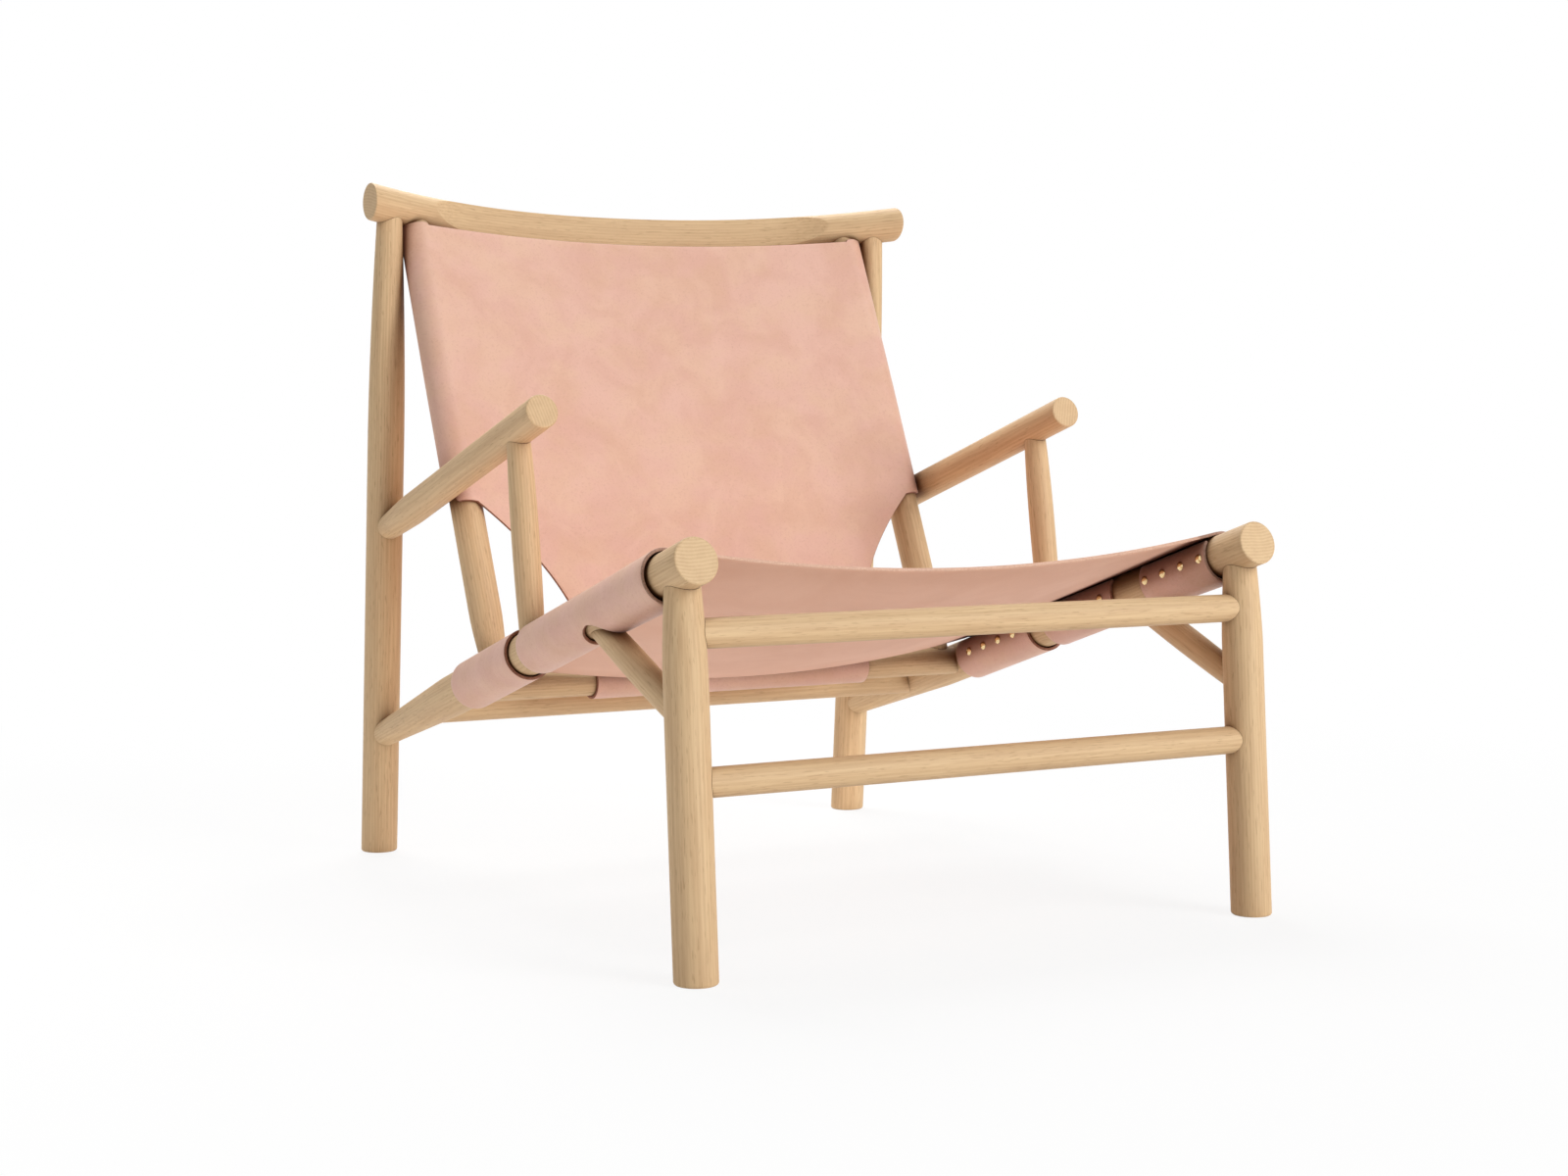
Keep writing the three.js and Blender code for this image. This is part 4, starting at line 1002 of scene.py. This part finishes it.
def make_back():
    turn_step = math.degrees(WRAP_STEP / (UPRIGHT_R + WRAP))
    angles = spans(BACK_FLAP_END, 90, turn_step)
    across = spans(BACK_HANG_INSET + UPRIGHT_X, 0, HANG_STEP)
    first = len(angles)

    def line(v):
        radius = float(upright_radius(np.array(v))) + HIDE_EASE + HIDE / 2
        sag = BACK_SAG * min(1.0, v / BACK_TOP) ** BACK_SAG_POWER
        return both_halves(hammock(lambda turn: radius, -UPRIGHT_X, sag, angles, across))

    low = line(BACK_LOW_EDGE)
    count = len(low)
    hang = low[first + 1:count - first - 1]
    reach = -hang[0, 0]
    arc = np.concatenate([[0], np.cumsum(np.hypot(*np.diff(low[:, :2], axis=0).T))])
    side = np.minimum(np.arange(count), count - 1 - np.arange(count))
    past = np.clip(arc[first + 1] - arc[side], 0, WRAP_EDGE_RUN) / WRAP_EDGE_RUN
    rise = WRAP_EDGE_RISE * np.sin(past * math.pi / 2)
    turn = np.append(angles, np.zeros(count))[side]
    step = smooth((turn - BACK_STEP_FROM) / (BACK_STEP_TO - BACK_STEP_FROM))
    rise = mix(rise, BACK_OVER_ARM - BACK_LOW_EDGE, step)
    drop = BACK_TOP_DROP * smooth((arc[side] - arc[first - 1]) / (arc[first + 1] - arc[first - 1]))
    middle = []
    facing = []
    kind = []

    def push(points, out, is_wide):
        middle.append(points)
        facing.append(out)
        kind.append(is_wide)

    def padded(rows):
        wide = np.zeros((count, 3))
        wide[first + 1:count - first - 1] = rows
        return wide

    for turn in np.radians(spans(TAB_WRAP, 0, math.degrees(WRAP_STEP / TAB_R)))[:-1]:
        out = BACK_OUT * math.cos(turn) - BACK_UP * math.sin(turn)
        points = bar_centre + out * TAB_R + np.outer(hang[:, 0] / reach * TAB_HALF, X)
        push(padded(points), padded(np.broadcast_to(out, points.shape)), False)
    for v in spans(0, BACK_LOW_EDGE, TAB_ROW_STEP)[:-1]:
        half = mix(TAB_HALF, reach, (v / BACK_LOW_EDGE) ** TAB_CURVE_POWER)
        depth = mix(TAB_R, hang[:, 1], float(smooth(v / BACK_LOW_EDGE)))
        points = (bar_centre + BACK_UP * v + np.outer(depth, BACK_OUT)
                  + np.outer(hang[:, 0] / reach * half, X))
        push(padded(points), padded(np.broadcast_to(BACK_OUT, points.shape)), False)
    for v in spans(BACK_LOW_EDGE, BACK_TOP, BACK_ROW_STEP):
        place = line(v)
        share = (BACK_TOP - v) / (BACK_TOP - BACK_LOW_EDGE)
        lift = mix(-drop, rise, share)
        points = (bar_centre + np.outer(v + lift, BACK_UP) + np.outer(place[:, 1], BACK_OUT)
                  + np.outer(place[:, 0], X))
        push(points, np.outer(place[:, 2], X) + np.outer(place[:, 3], BACK_OUT), True)
    middle = np.array(middle)
    facing = np.array(facing)
    wide = np.array(kind)

    def is_open(i, j):
        return not wide[i] and not first + 1 <= j < count - first - 2

    cells = grid_cells(len(middle), count, is_open)
    sheet_piece("back_hide", middle, facing, cells, "back_sling")


make_seat()
make_back()


# Nail heads


def nail_mesh():
    """A domed head on a short rim, standing on its own +Z axis."""
    dome_r = (NAIL_HEAD_R ** 2 + NAIL_HEAD_H ** 2) / (2 * NAIL_HEAD_H)
    shares = np.cos(np.linspace(0, math.pi / 2, NAIL_DOME_STEPS + 1)[:-1])
    outline = [(NAIL_HEAD_R * NAIL_FOOT_SHARE, 0.0), (NAIL_HEAD_R, NAIL_RIM / 2)]
    for share in shares:
        r = NAIL_HEAD_R * share
        height = NAIL_HEAD_H - dome_r + math.sqrt(dome_r ** 2 - r ** 2)
        outline.append((r * NAIL_DOME_SHARE, height * (1 - NAIL_RIM / NAIL_HEAD_H) + NAIL_RIM))
    turns = np.linspace(0, 2 * math.pi, NAIL_SIDES, endpoint=False)
    points = [(0.0, 0.0, 0.0)]
    for r, z in outline:
        points += [(r * math.cos(w), r * math.sin(w), z) for w in turns]
    points.append((0.0, 0.0, NAIL_HEAD_H))
    top = len(points) - 1
    faces = []
    for j in range(NAIL_SIDES):
        k = (j + 1) % NAIL_SIDES
        faces.append((0, 1 + k, 1 + j))
        for i in range(len(outline) - 1):
            a = 1 + i * NAIL_SIDES
            faces.append((a + j, a + k, a + NAIL_SIDES + k, a + NAIL_SIDES + j))
        faces.append((top, top - NAIL_SIDES + j, top - NAIL_SIDES + k))
    return np.array(points), faces


NAIL_POINTS, NAIL_FACES = nail_mesh()


def nail(node, root, out, flip=False):
    """A nail head lying on the hide at root and facing out."""
    turn = np.array(Vector(out).to_track_quat("Z", "Y").to_matrix())
    points = NAIL_POINTS @ turn.T + root + out * NAIL_GAP
    faces = NAIL_FACES
    if flip:
        points = points * MIRROR
        faces = [face[::-1] for face in faces]
    new_piece(f"{node}_head", in_frame(points), faces, [BRASS], [node])


def nail_pair(node, root, out):
    nail(f"{node}_left", root, out)
    nail(f"{node}_right", root, out, flip=True)


def make_nails():
    tabs = (("front", SEAT_FRONT, BRACE_SLOT[0]), ("middle", BRACE_SLOT[1], POST_SLOT[0]),
            ("rear", POST_SLOT[1], SEAT_REAR))
    for tab, start, end in tabs:
        for i in range(NAILS_PER_TAB):
            s = (start + end) / 2 + (i - (NAILS_PER_TAB - 1) / 2) * NAIL_PITCH
            nail_pair(f"seat_nail_{tab}_{i + 1}", on_rail(s) + X * wrapped_r, X)
    turn = math.radians(BACK_NAIL_ANGLE)
    out = BACK_OUT * math.sin(turn) + X * math.cos(turn)
    for i, v in enumerate(np.linspace(BACK_OVER_ARM + NAIL_MARGIN, BACK_TOP - NAIL_MARGIN, BACK_NAILS)):
        reach = float(upright_radius(np.array(v))) + WRAP
        nail_pair(f"back_nail_{i + 1}", upright.on(v) + out * reach, out)
    turn = math.radians(TAB_NAIL_ANGLE)
    out = BACK_OUT * math.cos(turn) - BACK_UP * math.sin(turn)
    for i, x in enumerate(np.linspace(NAIL_MARGIN - TAB_HALF, TAB_HALF - NAIL_MARGIN, TAB_NAILS)):
        nail(f"tab_nail_{i + 1}", bar_centre + out * (CROSSBAR_R + WRAP) + X * x, out)


make_nails()


# Stage, light and camera


FLOOR_SIZE = 30.0
FLOOR_COLOUR = (0.97, 0.97, 0.97, 1.0)
FLOOR_WHITE_NEAR = 0.87
FLOOR_FADE = (0.75, 1.9)
WHITE = (1.0, 1.0, 1.0, 1.0)
WORLD_LIGHT = 0.1
CHAIR_MIDDLE = (0.0, 0.0, 0.4)

# Each lamp's name, place and target in metres, width in metres, and power in watts
LAMPS = (
    ("front_low", (2.4, -6.4, 1.6), CHAIR_MIDDLE, 3.5, 155),
    ("front_high", (2.9, -5.1, 4.2), CHAIR_MIDDLE, 3.5, 192),
    ("side", (-2.8, 0.5, 2.62), CHAIR_MIDDLE, 1.8, 10),
    ("floor_left", (-1.9, -0.2, 0.9), (-1.9, -0.2, 0.0), 1.6, 5),
    ("rear_top", (0.2, 1.7, 3.0), CHAIR_MIDDLE, 2.4, 86),
)


def seen_rays(node, maths):
    """1 for rays that show the background: from the camera, by gloss or through glass."""
    path = node("ShaderNodeLightPath").outputs
    other = maths("MAXIMUM", path["Is Glossy Ray"], path["Is Transmission Ray"])
    return maths("MAXIMUM", path["Is Camera Ray"], other)


def make_floor():
    """A pale floor that keeps the chair's shadow and goes over into the white background."""
    mesh = bpy.data.meshes.new("floor")
    corners = [(-1, -1), (1, -1), (1, 1), (-1, 1)]
    mesh.from_pydata([(a * FLOOR_SIZE, b * FLOOR_SIZE, 0) for a, b in corners], [], [(0, 1, 2, 3)])
    floor = bpy.data.objects.new("floor", mesh)
    bpy.context.scene.collection.objects.link(floor)
    look = Look("floor")
    look.set(Base_Color=FLOOR_COLOUR, Roughness=0.9, Specular_IOR_Level=0.1)
    glow = look.node("ShaderNodeEmission", {"Color": WHITE, "Strength": 1.0}).outputs[0]
    place = look.node("ShaderNodeTexCoord").outputs["Object"]
    away = look.node("ShaderNodeVectorMath", {0: place}, operation="LENGTH").outputs["Value"]
    white = look.span(away, *FLOOR_FADE, FLOOR_WHITE_NEAR, 1.0)
    share = look.maths("MULTIPLY", seen_rays(look.node, look.maths), white)
    both = look.node("ShaderNodeMixShader", {0: share, 1: look.shader.outputs[0], 2: glow}).outputs[0]
    look.feed(look.tree.nodes["Material Output"].inputs["Surface"], both)
    mesh.materials.append(look.material)


class Sky(Look):
    """The world's nodes, built as a material's are."""

    def __init__(self, name):
        self.world = bpy.data.worlds.new(name)
        self.world.use_nodes = True
        self.tree = self.world.node_tree
        self.shader = self.tree.nodes["Background"]


def make_world():
    sky = Sky("studio")
    bpy.context.scene.world = sky.world
    seen = seen_rays(sky.node, sky.maths)
    sky.set(Color=WHITE, Strength=sky.span(seen, 0.0, 1.0, WORLD_LIGHT, 1.0))


def area_light(name, place, target, size, power):
    light = bpy.data.lights.new(name, "AREA")
    light.shape = "DISK"
    light.size = size
    light.energy = power
    lamp = bpy.data.objects.new(name, light)
    lamp.location = place
    lamp.rotation_euler = (Vector(target) - Vector(place)).to_track_quat("-Z", "Y").to_euler()
    lamp.visible_camera = False
    bpy.context.scene.collection.objects.link(lamp)


def make_camera():
    data = bpy.data.cameras.new("camera")
    data.lens = CAMERA_LENS
    data.sensor_width = SENSOR_WIDTH
    data.sensor_fit = "HORIZONTAL"
    camera = bpy.data.objects.new("camera", data)
    camera.location = in_frame(CAMERA_PLACE)
    camera.rotation_euler = Euler((math.radians(90 + CAMERA_PITCH), 0, math.radians(-CAMERA_YAW)))
    bpy.context.scene.collection.objects.link(camera)
    bpy.context.scene.camera = camera


make_floor()
make_world()
for lamp_settings in LAMPS:
    area_light(*lamp_settings)
make_camera()
bpy.context.scene.view_settings.view_transform = "Standard"
